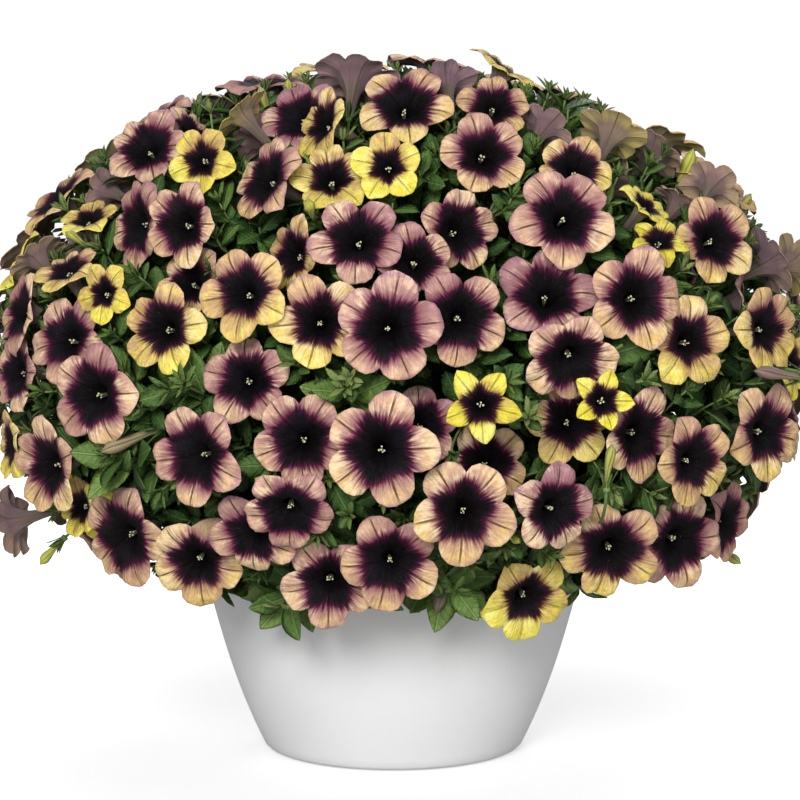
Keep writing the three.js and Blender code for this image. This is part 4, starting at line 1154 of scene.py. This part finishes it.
def petal_back():
    m = Recipe("petal_back", Roughness=0.6, Specular_IOR_Level=0.25, Sheen_Weight=0.15, Sheen_Roughness=0.5)
    _, out, tone, seed, lobe, streaks, flat = petal_places(m)
    fine, broad = streaks(16.0, 1.5, 3.0), streaks(5.0, 0.8)
    blotch = m.noise(flat, 3.0, 2.0)
    hue = m.times(m.plus(tone, m.swing(blotch, 0.4)), 0.8)
    petal = m.ramp(hue, (
        (0.0, (0.27, 0.165, 0.2)), (0.25, (0.34, 0.215, 0.19)), (0.45, (0.42, 0.3, 0.17)),
        (0.65, (0.47, 0.37, 0.13)), (0.85, (0.55, 0.47, 0.08)),
    ))
    inner = m.step(m.plus(out, m.swing(fine, 0.3)), 0.72, 0.42)
    petal = m.mix(m.times(inner, m.step(tone, 1.1, 0.6, 0.25, 0.72)), petal, (0.13, 0.07, 0.095))
    funnel = m.mix(m.step(fine, 0.4, 0.6), (0.2, 0.17, 0.09), (0.12, 0.065, 0.085))
    petal = m.mix(m.step(out, 0.32, 0.2), petal, funnel)
    petal = m.mix(m.step(out, 0.09, 0.0, 0.0, 0.85), petal, (0.2, 0.27, 0.09))
    thin = streaks(30.0, 1.2, 2.0)
    petal = m.mix(m.step(thin, 0.5, 0.66, 0.0, 0.35), petal, (0.17, 0.09, 0.09))
    rib = m.step(m.times(lobe, m.math("MAXIMUM", out, 0.25)), 0.04, 0.015, 0.0, 0.75)
    petal = m.mix(rib, petal, (0.12, 0.085, 0.05))
    m.colour(petal)
    m.bump(m.plus(m.times(thin, 0.6), m.plus(m.times(rib, 0.8), m.times(broad, 0.8))), 0.0009)
    return m.material


def heart():
    m = Recipe("heart", Roughness=0.5, Specular_IOR_Level=0.3)
    across, along, tone, seed = m.maps()
    grain = m.noise(m.vector(across, along, m.times(seed, 40.0)), 9.0, 2.0)
    pale = m.mix(m.step(tone, 0.6, 0.8), (0.66, 0.64, 0.44), (0.5, 0.58, 0.28))
    pale = m.mix(m.step(tone, 0.84, 0.88), pale, (0.16, 0.14, 0.1))
    m.colour(m.mix(m.step(grain, 0.35, 0.7, 0.0, 0.35), pale, (0.5, 0.45, 0.22)))
    m.bump(grain, 0.0004)
    return m.material


def bud_skin():
    m = Recipe("bud_skin", Roughness=0.5, Specular_IOR_Level=0.3, Sheen_Weight=0.15, Sheen_Roughness=0.4)
    across, along, tone, seed = m.maps()
    turn = m.times(across, 2 * math.pi)
    side, front = m.times(m.math("COSINE", turn), 2.6), m.times(m.math("SINE", turn), 2.6)
    where = m.vector(side, front, m.plus(along, m.times(seed, 50.0)))
    lines = m.noise(where, 2.0, 2.0)
    ridge = m.math("ABSOLUTE", m.plus(m.math("FRACT", m.times(across, 5.0)), -0.5))
    young = m.ramp(tone, (
        (0.0, (0.2, 0.1, 0.14)), (0.4, (0.36, 0.34, 0.1)),
        (0.7, (0.5, 0.52, 0.08)), (1.0, (0.62, 0.62, 0.06)),
    ))
    body = m.mix(m.step(along, 0.55, 0.05), young, (0.24, 0.3, 0.09))
    dark = m.times(m.step(ridge, 0.2, 0.06), m.step(tone, 1.0, 0.4, 0.25, 0.85))
    body = m.mix(dark, body, (0.11, 0.05, 0.07))
    m.colour(m.mix(m.step(lines, 0.5, 0.7, 0.0, 0.3), body, (0.16, 0.1, 0.06)))
    m.bump(m.plus(m.times(lines, 0.5), ridge), 0.0008)
    return m.material


def leaf_skin():
    m = Recipe("leaf_skin", Roughness=0.5, Specular_IOR_Level=0.22)
    across, along, tone, seed = m.maps()
    side = m.math("ABSOLUTE", m.plus(m.times(across, 2.0), -1.0))
    shift = m.times(seed, 77.0)
    where = m.vector(m.times(across, 1.0), m.times(along, 1.6), shift)
    blotch = m.noise(where, 4.0, 3.0)
    fine = m.noise(where, 26.0, 2.0)
    green = m.ramp(m.plus(tone, m.swing(blotch, 0.35)), (
        (0.0, (0.014, 0.042, 0.008)), (0.3, (0.035, 0.095, 0.016)), (0.55, (0.085, 0.17, 0.032)),
        (0.8, (0.19, 0.29, 0.065)), (1.0, (0.34, 0.43, 0.13)),
    ))
    slant = m.math("FRACT", m.times(m.math("SUBTRACT", along, m.times(side, 0.22)), 7.0))
    veins = m.step(m.math("ABSOLUTE", m.plus(slant, -0.5)), 0.13, 0.03, 0.0, 0.45)
    rib = m.step(side, 0.11, 0.04, 0.0, 0.75)
    lines = m.math("MAXIMUM", veins, rib)
    green = m.mix(m.times(lines, 0.6), green, m.mix(tone, (0.08, 0.16, 0.045), (0.4, 0.5, 0.2)))
    green = m.mix(m.step(fine, 0.55, 0.75, 0.0, 0.18), green, (0.2, 0.3, 0.12))
    m.colour(green)
    m.bump(m.plus(m.times(lines, -1.0), m.plus(m.times(blotch, 1.1), m.times(fine, 0.25))), 0.0012)
    return m.material


def stem_skin():
    m = Recipe("stem_skin", Roughness=0.55, Specular_IOR_Level=0.25)
    across, along, tone, seed = m.maps()
    where = m.vector(m.times(across, 3.0), m.times(along, 6.0), m.times(seed, 60.0))
    blotch = m.noise(where, 2.0, 3.0)
    green = m.ramp(m.plus(tone, m.swing(blotch, 0.3)), (
        (0.0, (0.05, 0.09, 0.025)), (0.5, (0.12, 0.19, 0.055)), (1.0, (0.28, 0.36, 0.12)),
    ))
    m.colour(m.mix(m.step(blotch, 0.55, 0.75, 0.0, 0.3), green, (0.16, 0.09, 0.06)))
    m.bump(blotch, 0.0006)
    return m.material


def pot_skin():
    m = Recipe("pot_skin", Specular_IOR_Level=0.4)
    where = m.node("TexCoord", output=3)
    broad, fine = m.noise(where, 9.0, 3.0), m.noise(where, 420.0, 2.0)
    m.colour(m.mix(m.step(broad, 0.35, 0.7, 0.0, 0.5), (0.84, 0.84, 0.836), (0.81, 0.81, 0.806)))
    m.put(m.shader.inputs["Roughness"], m.plus(m.times(broad, 0.12), 0.36))
    m.bump(fine, 0.00012)
    return m.material


def earth():
    m = Recipe("earth", Roughness=0.95, Specular_IOR_Level=0.2)
    where = m.node("TexCoord", output=3)
    crumbs, fine = m.noise(where, 160.0, 4.0, 0.7), m.noise(where, 600.0, 2.0)
    spots = m.node("TexVoronoi", {"Vector": where, "Scale": 190.0}, 0)
    keep = m.noise(where, 90.0, 1.0)
    brown = m.ramp(crumbs, (
        (0.3, (0.012, 0.008, 0.006)), (0.5, (0.045, 0.028, 0.018)), (0.7, (0.11, 0.07, 0.045)),
    ))
    grit = m.times(m.step(spots, 0.3, 0.2), m.step(keep, 0.6, 0.66))
    m.colour(m.mix(grit, brown, (0.55, 0.53, 0.48)))
    m.bump(m.plus(crumbs, m.times(fine, 0.3)), 0.004)
    return m.material


PETAL_SKINS = [petal_face(), petal_back(), heart(), bud_skin()]
GREEN_SKINS = [leaf_skin(), stem_skin()]

# Plant


def tone_of(colour):
    return (colour / 1.25, chance.uniform(0, 1))


def green_tone(low, high):
    return (chance.uniform(low, high), chance.uniform(0, 1))


def side_stem(start, end, end_way, count=8):
    """A stem that leaves its main stem and turns to run straight into a bloom's foot."""
    reach = length_of(end - start)
    second = end - end_way * 0.3 * reach
    first = start + (second - start) * 0.5
    return curve_through(start, first, second, end, count)


def leaves_along(green, line, shares, length, tone_range, kind="plain", first=0.0, width=0.55, skin=-0.03):
    """Pairs of leaves along a stem, each pair turned a quarter from the one before."""
    if len(line) < 3:
        return
    for i, share in enumerate(shares):
        place, way = on_path(line, share)
        for k in range(2):
            turn = first + i * 1.7 + np.pi * k + chance.uniform(-0.3, 0.3)
            size = length * chance.uniform(0.75, 1.15)
            tone = green_tone(*tone_range)
            lean = chance.uniform(0.8, 1.7)
            droop = chance.uniform(0.1, 0.55)
            try_leaf(green, place, way, around(way, turn), size, size * width, tone, droop, lean, kind, skin)


# Stems: radius at the foot and at the tip, columns and tones
MAIN_STEM = (STEM_RADIUS, 1.5, 7, (0.35, 0.5))
SIDE_STEM = (1.45, 1.05, 6, (0.4, 0.65))
LEAFY_STEM = (LEAFY_STEM_RADIUS, 0.9, 7, (0.4, 0.6))
TWIG_STEM = (1.1, 0.7, 4, (0.45, 0.75))
RIM_STEM = (1.3, 0.7, 5, (0.45, 0.7))
BUD_STEM = (1.2, 1.0, 6, (0.5, 0.7))
LEAVES_FROM = 145.0
# Shares of the stem where leaves stand, their length and their tones
MAIN_LEAVES = (np.arange(0.06, 1, 0.1), 47, (0.1, 0.4))
SIDE_LEAVES = ((0.35, 0.62, 0.86), 31, (0.2, 0.55))
LOW_LEAFY_LEAVES = ((0.25, 0.45, 0.6), 34, (0.15, 0.4))


def stem_tube(green, line, thick, thin, columns, tones):
    tube(green, line, np.linspace(thick, thin, len(line)), columns, STEM, green_tone(*tones))


class Growth:
    """One flowering shoot's finished look: its petals, its green parts and the stems that carry more."""

    def __init__(self, shoot):
        self.petals, self.green, self.lines = Shells(), Shells(), []
        main = fine_path(shoot.path, 7)
        stem_tube(self.green, main, *MAIN_STEM)
        high = main[main[:, 2] > LEAVES_FROM]
        self.lines.append(main)
        leaves_along(self.green, high, *MAIN_LEAVES, first=chance.uniform(0, 3), width=0.6)
        for bloom in shoot.blooms:
            tone = tone_of(bloom.colour)
            start = main[int(np.argmin(length_of(main - bloom.root)))]
            line = side_stem(start, bloom.foot, bloom.face)
            stem_tube(self.green, line, *SIDE_STEM)
            sepals(self.green, bloom.foot, bloom.face, 12, green_tone(0.45, 0.65))
            bloom_shell(self.petals, bloom, tone)
            self.lines.append(line)
            leaves_along(self.green, line, *SIDE_LEAVES, first=chance.uniform(0, 3))


growths = [Growth(shoot) for shoot in shoots]

leafy_pieces = []
for stem in leafy:
    green = Shells()
    line = fine_path(stem.path, 7)
    stem_tube(green, line, *LEAFY_STEM)
    for leaf in stem.leaves:
        shift = line[int(np.argmin(length_of(line - leaf.base)))] - leaf.base
        base, length, width = leaf.base + shift * 0.7, LEAF_LENGTH * leaf.size, LEAF_WIDTH * leaf.size
        tone = green_tone(0.4, 0.75)
        leaf_shell(green, base, leaf.along, leaf.up, length, width, tone, 0.16, 0.25, "fine")
    way = unit(line[-1] - line[-3])
    tuft(green, line[-1], way, 17, green_tone(0.7, 0.95), 9)
    high = line[line[:, 2] > LEAVES_FROM + 5]
    leaves_along(green, high, *LOW_LEAFY_LEAVES, first=chance.uniform(0, 3))
    leafy_pieces.append(green)

# Young twigs that grow into the gaps between the blooms, and over the pot's rim

TWIG_CANDIDATES = 1000
TWIG_DEPTHS = (0.955, 0.91, 0.86, 0.8, 0.73, 0.65)
TWIGS_APART = 25.0
TWIG_AIR = 7.0
LOWEST_TWIG = 150.0
YOUNG_FROM = 0.9
# The tuft's size, its tones and the leaves' tones
YOUNG_TWIG = (15, (0.6, 1.0), (0.3, 0.6))
OLD_TWIG = (19, (0.2, 0.5), (0.12, 0.4))
TWIG_LEAF = 25
TWIG_LEAF_STEPS = (7, 17, 30, 44)  # how far the leaves stand from the tip
CARRY_FROM = 140  # height above which a main stem carries twigs
CARRIERS_TRIED = 14
LEAST_FACING = 0.35  # least cosine between a twig's way and the line to its tip from the stem
TURNING_COST = 60  # added to the distance of a stem that falls short of it
carriers = [(k, line) for k, growth in enumerate(growths) for line in growth.lines]
carrier_points, carrier_of = [], []
for k, line in carriers:
    usable = line[1:-2] if len(line) < 10 else line[line[:, 2] > CARRY_FROM]
    carrier_points.append(usable)
    carrier_of += [k] * len(usable)
carrier_points = np.vstack(carrier_points)
carrier_of = np.array(carrier_of)


def reach_for(tip, way, least=14.0, most=120.0):
    """A line from the nearest stem that can carry a twig to this place, or None."""
    away = length_of(carrier_points - tip)
    facing_out = ((tip - carrier_points) * way).sum(1) / np.maximum(away, 1e-6)
    order = np.argsort(away + TURNING_COST * (facing_out < LEAST_FACING))
    for index in order[:CARRIERS_TRIED]:
        if not least < away[index] < most:
            continue
        start = carrier_points[index]
        line = side_stem(start, tip, way, 7)
        if not room.holds(line[1:], 1.2).any() and not near_rim(line, 1.5).any():
            return int(carrier_of[index]), line
    return None


tips = []
for places in zip(*(over_mound(TWIG_CANDIDATES, 31, share=depth) for depth in TWIG_DEPTHS)):
    for depth, place in zip(TWIG_DEPTHS, places):
        if place[2] < LOWEST_TWIG or room.holds(place, TWIG_AIR)[0] or room.before(place)[0]:
            continue
        if tips and length_of(np.array(tips) - place).min() < TWIGS_APART:
            break
        way = unit(mound_normal(place) + chance.uniform(-0.25, 0.25, 3) + [0, 0, 0.25])
        found = reach_for(place, way)
        if found is None:
            continue
        k, line = found
        tips.append(place)
        growth = growths[k]
        size, tuft_tones, leaf_tones = YOUNG_TWIG if depth > YOUNG_FROM else OLD_TWIG
        stem_tube(growth.green, line, *TWIG_STEM)
        tuft(growth.green, line[-1], way, size, green_tone(*tuft_tones), 6)
        reach = length_of(np.diff(line, axis=0)).sum()
        shares = [1 - gone / reach for gone in TWIG_LEAF_STEPS if gone < reach * 0.85]
        leaves_along(growth.green, line, shares, TWIG_LEAF, leaf_tones, first=chance.uniform(0, 3))
        break

# Twigs over the rim, all round

RIM_TWIGS = 30
# Their line: how far out from the axis and how high
RIM_ARC = ((84, 140), (104, 152), (122, 157), (138, 152), (147, 142))
RIM_TIP_OUT = 151
RIM_TIP_UP = (122, 138)
# Their leaves: the point of the line that they begin at, shares from there, length, tones and width. The
# tones are pale as painted light, standing for the light that falls on the leaves over the rim.
RIM_LEAVES = (
    (0, (0.35, 0.5, 0.64, 0.78, 0.9), 33, (0.42, 0.74), 0.58),
    (-4, (0.55, 0.97), 25, (0.5, 0.85), 0.6),
)
RIM_SKIN = 0.3  # how far outside the mound they may reach, as outside_mound measures it
for i in range(RIM_TWIGS):
    turn = 2 * np.pi * (i + chance.uniform(-0.3, 0.3)) / RIM_TWIGS
    out = np.array([math.cos(turn), math.sin(turn), 0])
    up = np.array([0, 0, 1.0])
    tip = (RIM_TIP_OUT, chance.uniform(*RIM_TIP_UP))
    line = np.array([out * far + up * high for far, high in (*RIM_ARC, tip)])
    nearest = int(np.argmin(length_of(carrier_points - line[0])))
    line = fine_path(np.vstack([carrier_points[nearest], line]), 3)
    if room.holds(line, 0.6).any():
        continue
    growth = growths[int(carrier_of[nearest])]
    stem_tube(growth.green, line, *RIM_STEM)
    for begin, shares, length, tones, width in RIM_LEAVES:
        part, first = line[begin:], chance.uniform(0, 3)
        leaves_along(growth.green, part, shares, length, tones, "rim", first, width, RIM_SKIN)

# Buds: across and down in the photograph, then the way they point (right, up), length, radius and colour
BUDS_SEEN = (
    (100, 449, -78, -18, 44, 4.6, 0.25), (258, 480, -30, 30, 22, 3.0, 0.9),
    (38, 562, -70, -40, 24, 3.4, 0.7), (442, 612, 0, -68, 38, 4.6, 0.15),
    (520, 545, 40, -30, 20, 2.8, 0.8), (608, 446, 0, 70, 30, 3.2, 0.6),
    (738, 566, 80, -40, 24, 3.4, 0.6), (694, 152, 40, 60, 40, 4.6, 0.75),
    (752, 196, 60, 50, 24, 3.2, 0.55), (256, 88, -60, 60, 26, 3.2, 0.6),
    (286, 78, -20, 70, 26, 3.2, 0.7), (752, 371, -74, 8, 42, 4.2, 0.1),
    (308, 203, -10, 30, 20, 3.6, 0.8), (68, 230, -60, 40, 20, 3.0, 0.6),
)
# Buds round the back: which twigs carry one, how far behind the axis, how long and how far out
BUD_EVERY = 9
BUD_FIRST = 4
BUDS_BEHIND = 40
BUD_LENGTH = (22, 38)
BUD_OUT = 12


def grow_bud(tip, way, length, radius, colour):
    base = tip - way * length
    found = reach_for(base, way, 6.0, 150.0)
    if found is None:
        return
    k, line = found
    stem_tube(growths[k].green, line, *BUD_STEM)
    bud_shell(
        growths[k].petals, growths[k].green, base, way, length, radius,
        (colour, chance.uniform(0, 1)), green_tone(0.55, 0.75),
    )


for across, down, right, up, length, radius, colour in BUDS_SEEN:
    along = sight_line(across, down)
    grow_bud(EYE + along * meet_mound(along), facing(right, up), length, radius, colour)
for index, place in enumerate(tips):
    if index % BUD_EVERY == BUD_FIRST and place[1] > BUDS_BEHIND:
        way = unit(mound_normal(place) + [0, 0, 0.4])
        length = chance.uniform(*BUD_LENGTH)
        grow_bud(place + way * BUD_OUT, way, length, 3.0 + length / 30, chance.uniform(0.1, 0.9))

# The pieces

PETAL_SLOTS = ((0.42, "petals_mauve"), (0.6, "petals_peach"), (math.inf, "petals_gold"))


def finish_piece(piece, slot, *nodes):
    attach(piece, "root")
    if nodes:
        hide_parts(*nodes)


for i, (shoot, growth) in enumerate(zip(shoots, growths), 1):
    mean = sum(min(1, bloom.colour) for bloom in shoot.blooms) / len(shoot.blooms)
    slot = next(name for limit, name in PETAL_SLOTS if mean < limit)
    node = f"flowering_shoot_{i:02d}"
    finish_piece(growth.petals.piece(f"blooms_{i:02d}", PETAL_SKINS), slot, node)
    finish_piece(growth.green.piece(f"greenery_{i:02d}", GREEN_SKINS), "leaf", node)
for i, green in enumerate(leafy_pieces, 1):
    finish_piece(green.piece(f"leafy_{i:02d}", GREEN_SKINS), "leaf", f"leafy_shoot_{i:02d}")

# Pot and soil


def lathe(shells, profile, columns, wobble=None):
    """A closed turned body; the profile runs from the middle of the bottom to the middle of the top."""
    profile = np.array(profile, float)
    turns = -2 * np.pi * np.arange(columns) / columns
    rings = profile[1:-1]
    points = np.stack([
        np.outer(rings[:, 0], np.cos(turns)), np.outer(rings[:, 0], np.sin(turns)),
        np.repeat(rings[:, 1:], columns, 1),
    ], -1).reshape(-1, 3)
    if wobble is not None:
        points[:, 2] += wobble(points)
    points = np.vstack([points, [[0, 0, profile[0, 1]], [0, 0, profile[-1, 1]]]])
    corners, row_at, column_at, sizes = ring_faces(len(rings), columns)
    places = np.stack([column_at / columns, row_at / (len(rings) - 1)], 1)
    shells.add(points, corners, sizes, 0, places, (0.5, 0.5))


side = [(float(bowl_radius(z)), z) for z in np.linspace(3, POT_HEIGHT - 2, 26)]
rim = [
    (RIM_RADIUS - 2 + 2 * math.cos(a), POT_HEIGHT - 2 + 2 * math.sin(a))
    for a in np.radians((20, 45, 70, 90, 110, 135, 160))
]
inner_side = [(r - POT_WALL, z) for r, z in side[::-1] if z > 12]
profile = [(0, 0), (40, 0), (70, 0), (83.5, 0), (85.8, 0.25), (87.6, 1.1), *side[:-1], *rim, *inner_side]
profile += [(84, 7), (81, POT_FLOOR), (60, POT_FLOOR), (30, POT_FLOOR), (0, POT_FLOOR)]
pot_shells = Shells()
lathe(pot_shells, profile, POT_COLUMNS)
pot = pot_shells.piece("planter", [pot_skin()])
cutters = Shells()
for i in range(DRAIN_HOLES):
    turn = 2 * np.pi * (i + 0.5) / DRAIN_HOLES
    middle = np.array([DRAIN_RING * math.cos(turn), DRAIN_RING * math.sin(turn), 0])
    tube(cutters, middle + np.outer([-5, 5, 15], [0, 0, 1.0]), DRAIN_RADIUS, 24, 0, (0, 0))
cutter = cutters.piece("drains", [])
cut = pot.modifiers.new("drains", "BOOLEAN")
cut.object, cut.operation, cut.solver = cutter, "DIFFERENCE", "EXACT"
bpy.context.view_layer.update()
pot.data = bpy.data.meshes.new_from_object(pot.evaluated_get(bpy.context.evaluated_depsgraph_get()))
pot.modifiers.clear()
bpy.data.objects.remove(cutter)
pot.data.set_sharp_from_angle(angle=math.radians(50))
finish_piece(pot, "pot", "pot")


def crumbs(points):
    top = (points[:, 2] > SOIL_TOP - 4) & (np.hypot(points[:, 0], points[:, 1]) < 124)
    x, y = points[:, 0], points[:, 1]
    waves = np.sin(x / 7.1 + 2 * np.sin(y / 11)) + np.sin(y / 5.3 + 1.7 * np.sin(x / 9))
    waves = waves + 0.6 * np.sin((x - y) / 2.9)
    return top * (0.7 * waves + chance.uniform(-0.6, 0.6, len(points)))


low = POT_FLOOR + SOIL_GAP
wall = [(float(bowl_radius(z)) - POT_WALL - 0.45, z) for z in np.linspace(14, SOIL_TOP - 3, 12)]
top_rings = [(r, SOIL_TOP + 2 * (1 - r / 112)) for r in np.linspace(122, 3, 30)]
soil_shells = Shells()
bottom = [(0, low), (40, low), (78, low), (84, low + 3)]
lathe(soil_shells, [*bottom, *wall, *top_rings, (0, SOIL_TOP + 2)], SOIL_COLUMNS, crumbs)
finish_piece(soil_shells.piece("potting_mix", [earth()]), "soil", "soil")

# Stage, light and camera

FLOOR_RADIUS = 4
FLOOR_BELOW = 0.0008
GLOW_NEAR = 0.56
GLOW_MORE = 0.4
GLOW_REACH = (0.12, 0.7)
FRAME_WIDTH = 800
SENSOR_WIDTH = 36
# Lights: place, aim, size and power
LIGHTS = {
    "key": ((-0.4, -2.65, 1.25), (0, 0, 0.22), 0.9, 64),
    "fill": ((1.5, -2.2, 0.9), (0, 0, 0.22), 1.4, 9),
    "back": ((0.6, 2.5, 1.9), (0, 0, 0.25), 1.4, 34),
}
ROOM_LIGHT = 0.34
SEEN_WHITE = 1.05


def stage_floor():
    bpy.ops.mesh.primitive_circle_add(
        vertices=96, radius=FLOOR_RADIUS, fill_type="NGON", location=(0, 0, -FLOOR_BELOW)
    )
    floor = bpy.context.object
    floor.name = "floor"
    m = Recipe("floor_paint", Roughness=0.9, Specular_IOR_Level=0.1)
    where = m.node("TexCoord", output=3)
    far = m.step(m.node("VectorMath", {0: where}, 1, operation="LENGTH"), *GLOW_REACH)
    grain = m.noise(where, 30.0, 2.0)
    m.colour(m.mix(m.step(grain, 0.3, 0.7, 0.0, 0.3), (0.6, 0.6, 0.598), (0.58, 0.58, 0.578)))
    seen = m.node("LightPath", (), 0)
    m.put(m.shader.inputs["Emission Strength"], m.times(seen, m.plus(GLOW_NEAR, m.times(far, GLOW_MORE))))
    m.shader.inputs["Emission Color"].default_value = (1, 1, 1, 1)
    floor.data.materials.append(m.material)


def soft_light(name, place, aim, size, power):
    data = bpy.data.lights.new(name, "AREA")
    data.shape, data.size, data.energy = "DISK", size, power
    lamp = bpy.data.objects.new(name, data)
    bpy.context.scene.collection.objects.link(lamp)
    lamp.location = place
    lamp.rotation_mode = "QUATERNION"
    lamp.rotation_quaternion = Vector(np.subtract(aim, place)).to_track_quat("-Z", "Y")


stage_floor()
for name, light in LIGHTS.items():
    soft_light(name, *light)

world = bpy.data.worlds.new("studio")
bpy.context.scene.world = world
world.use_nodes = True
tree = world.node_tree
tree.nodes.clear()
out = tree.nodes.new("ShaderNodeOutputWorld")
seen_white = tree.nodes.new("ShaderNodeBackground")
room_light = tree.nodes.new("ShaderNodeBackground")
seen_white.inputs[0].default_value = (1, 1, 1, 1)
seen_white.inputs[1].default_value = SEEN_WHITE
room_light.inputs[0].default_value = (0.96, 0.98, 1, 1)
room_light.inputs[1].default_value = ROOM_LIGHT
path = tree.nodes.new("ShaderNodeLightPath")
pick = tree.nodes.new("ShaderNodeMixShader")
tree.links.new(path.outputs["Is Camera Ray"], pick.inputs[0])
tree.links.new(room_light.outputs[0], pick.inputs[1])
tree.links.new(seen_white.outputs[0], pick.inputs[2])
tree.links.new(pick.outputs[0], out.inputs[0])

camera_data = bpy.data.cameras.new("camera")
camera_data.sensor_width = SENSOR_WIDTH
camera_data.lens = FOCAL / FRAME_WIDTH * SENSOR_WIDTH
camera = bpy.data.objects.new("camera", camera_data)
bpy.context.scene.collection.objects.link(camera)
camera.location = EYE * 0.001
camera.rotation_euler = (math.radians(90 - PITCH), 0, 0)
bpy.context.scene.camera = camera
bpy.context.scene.view_settings.view_transform = "Standard"
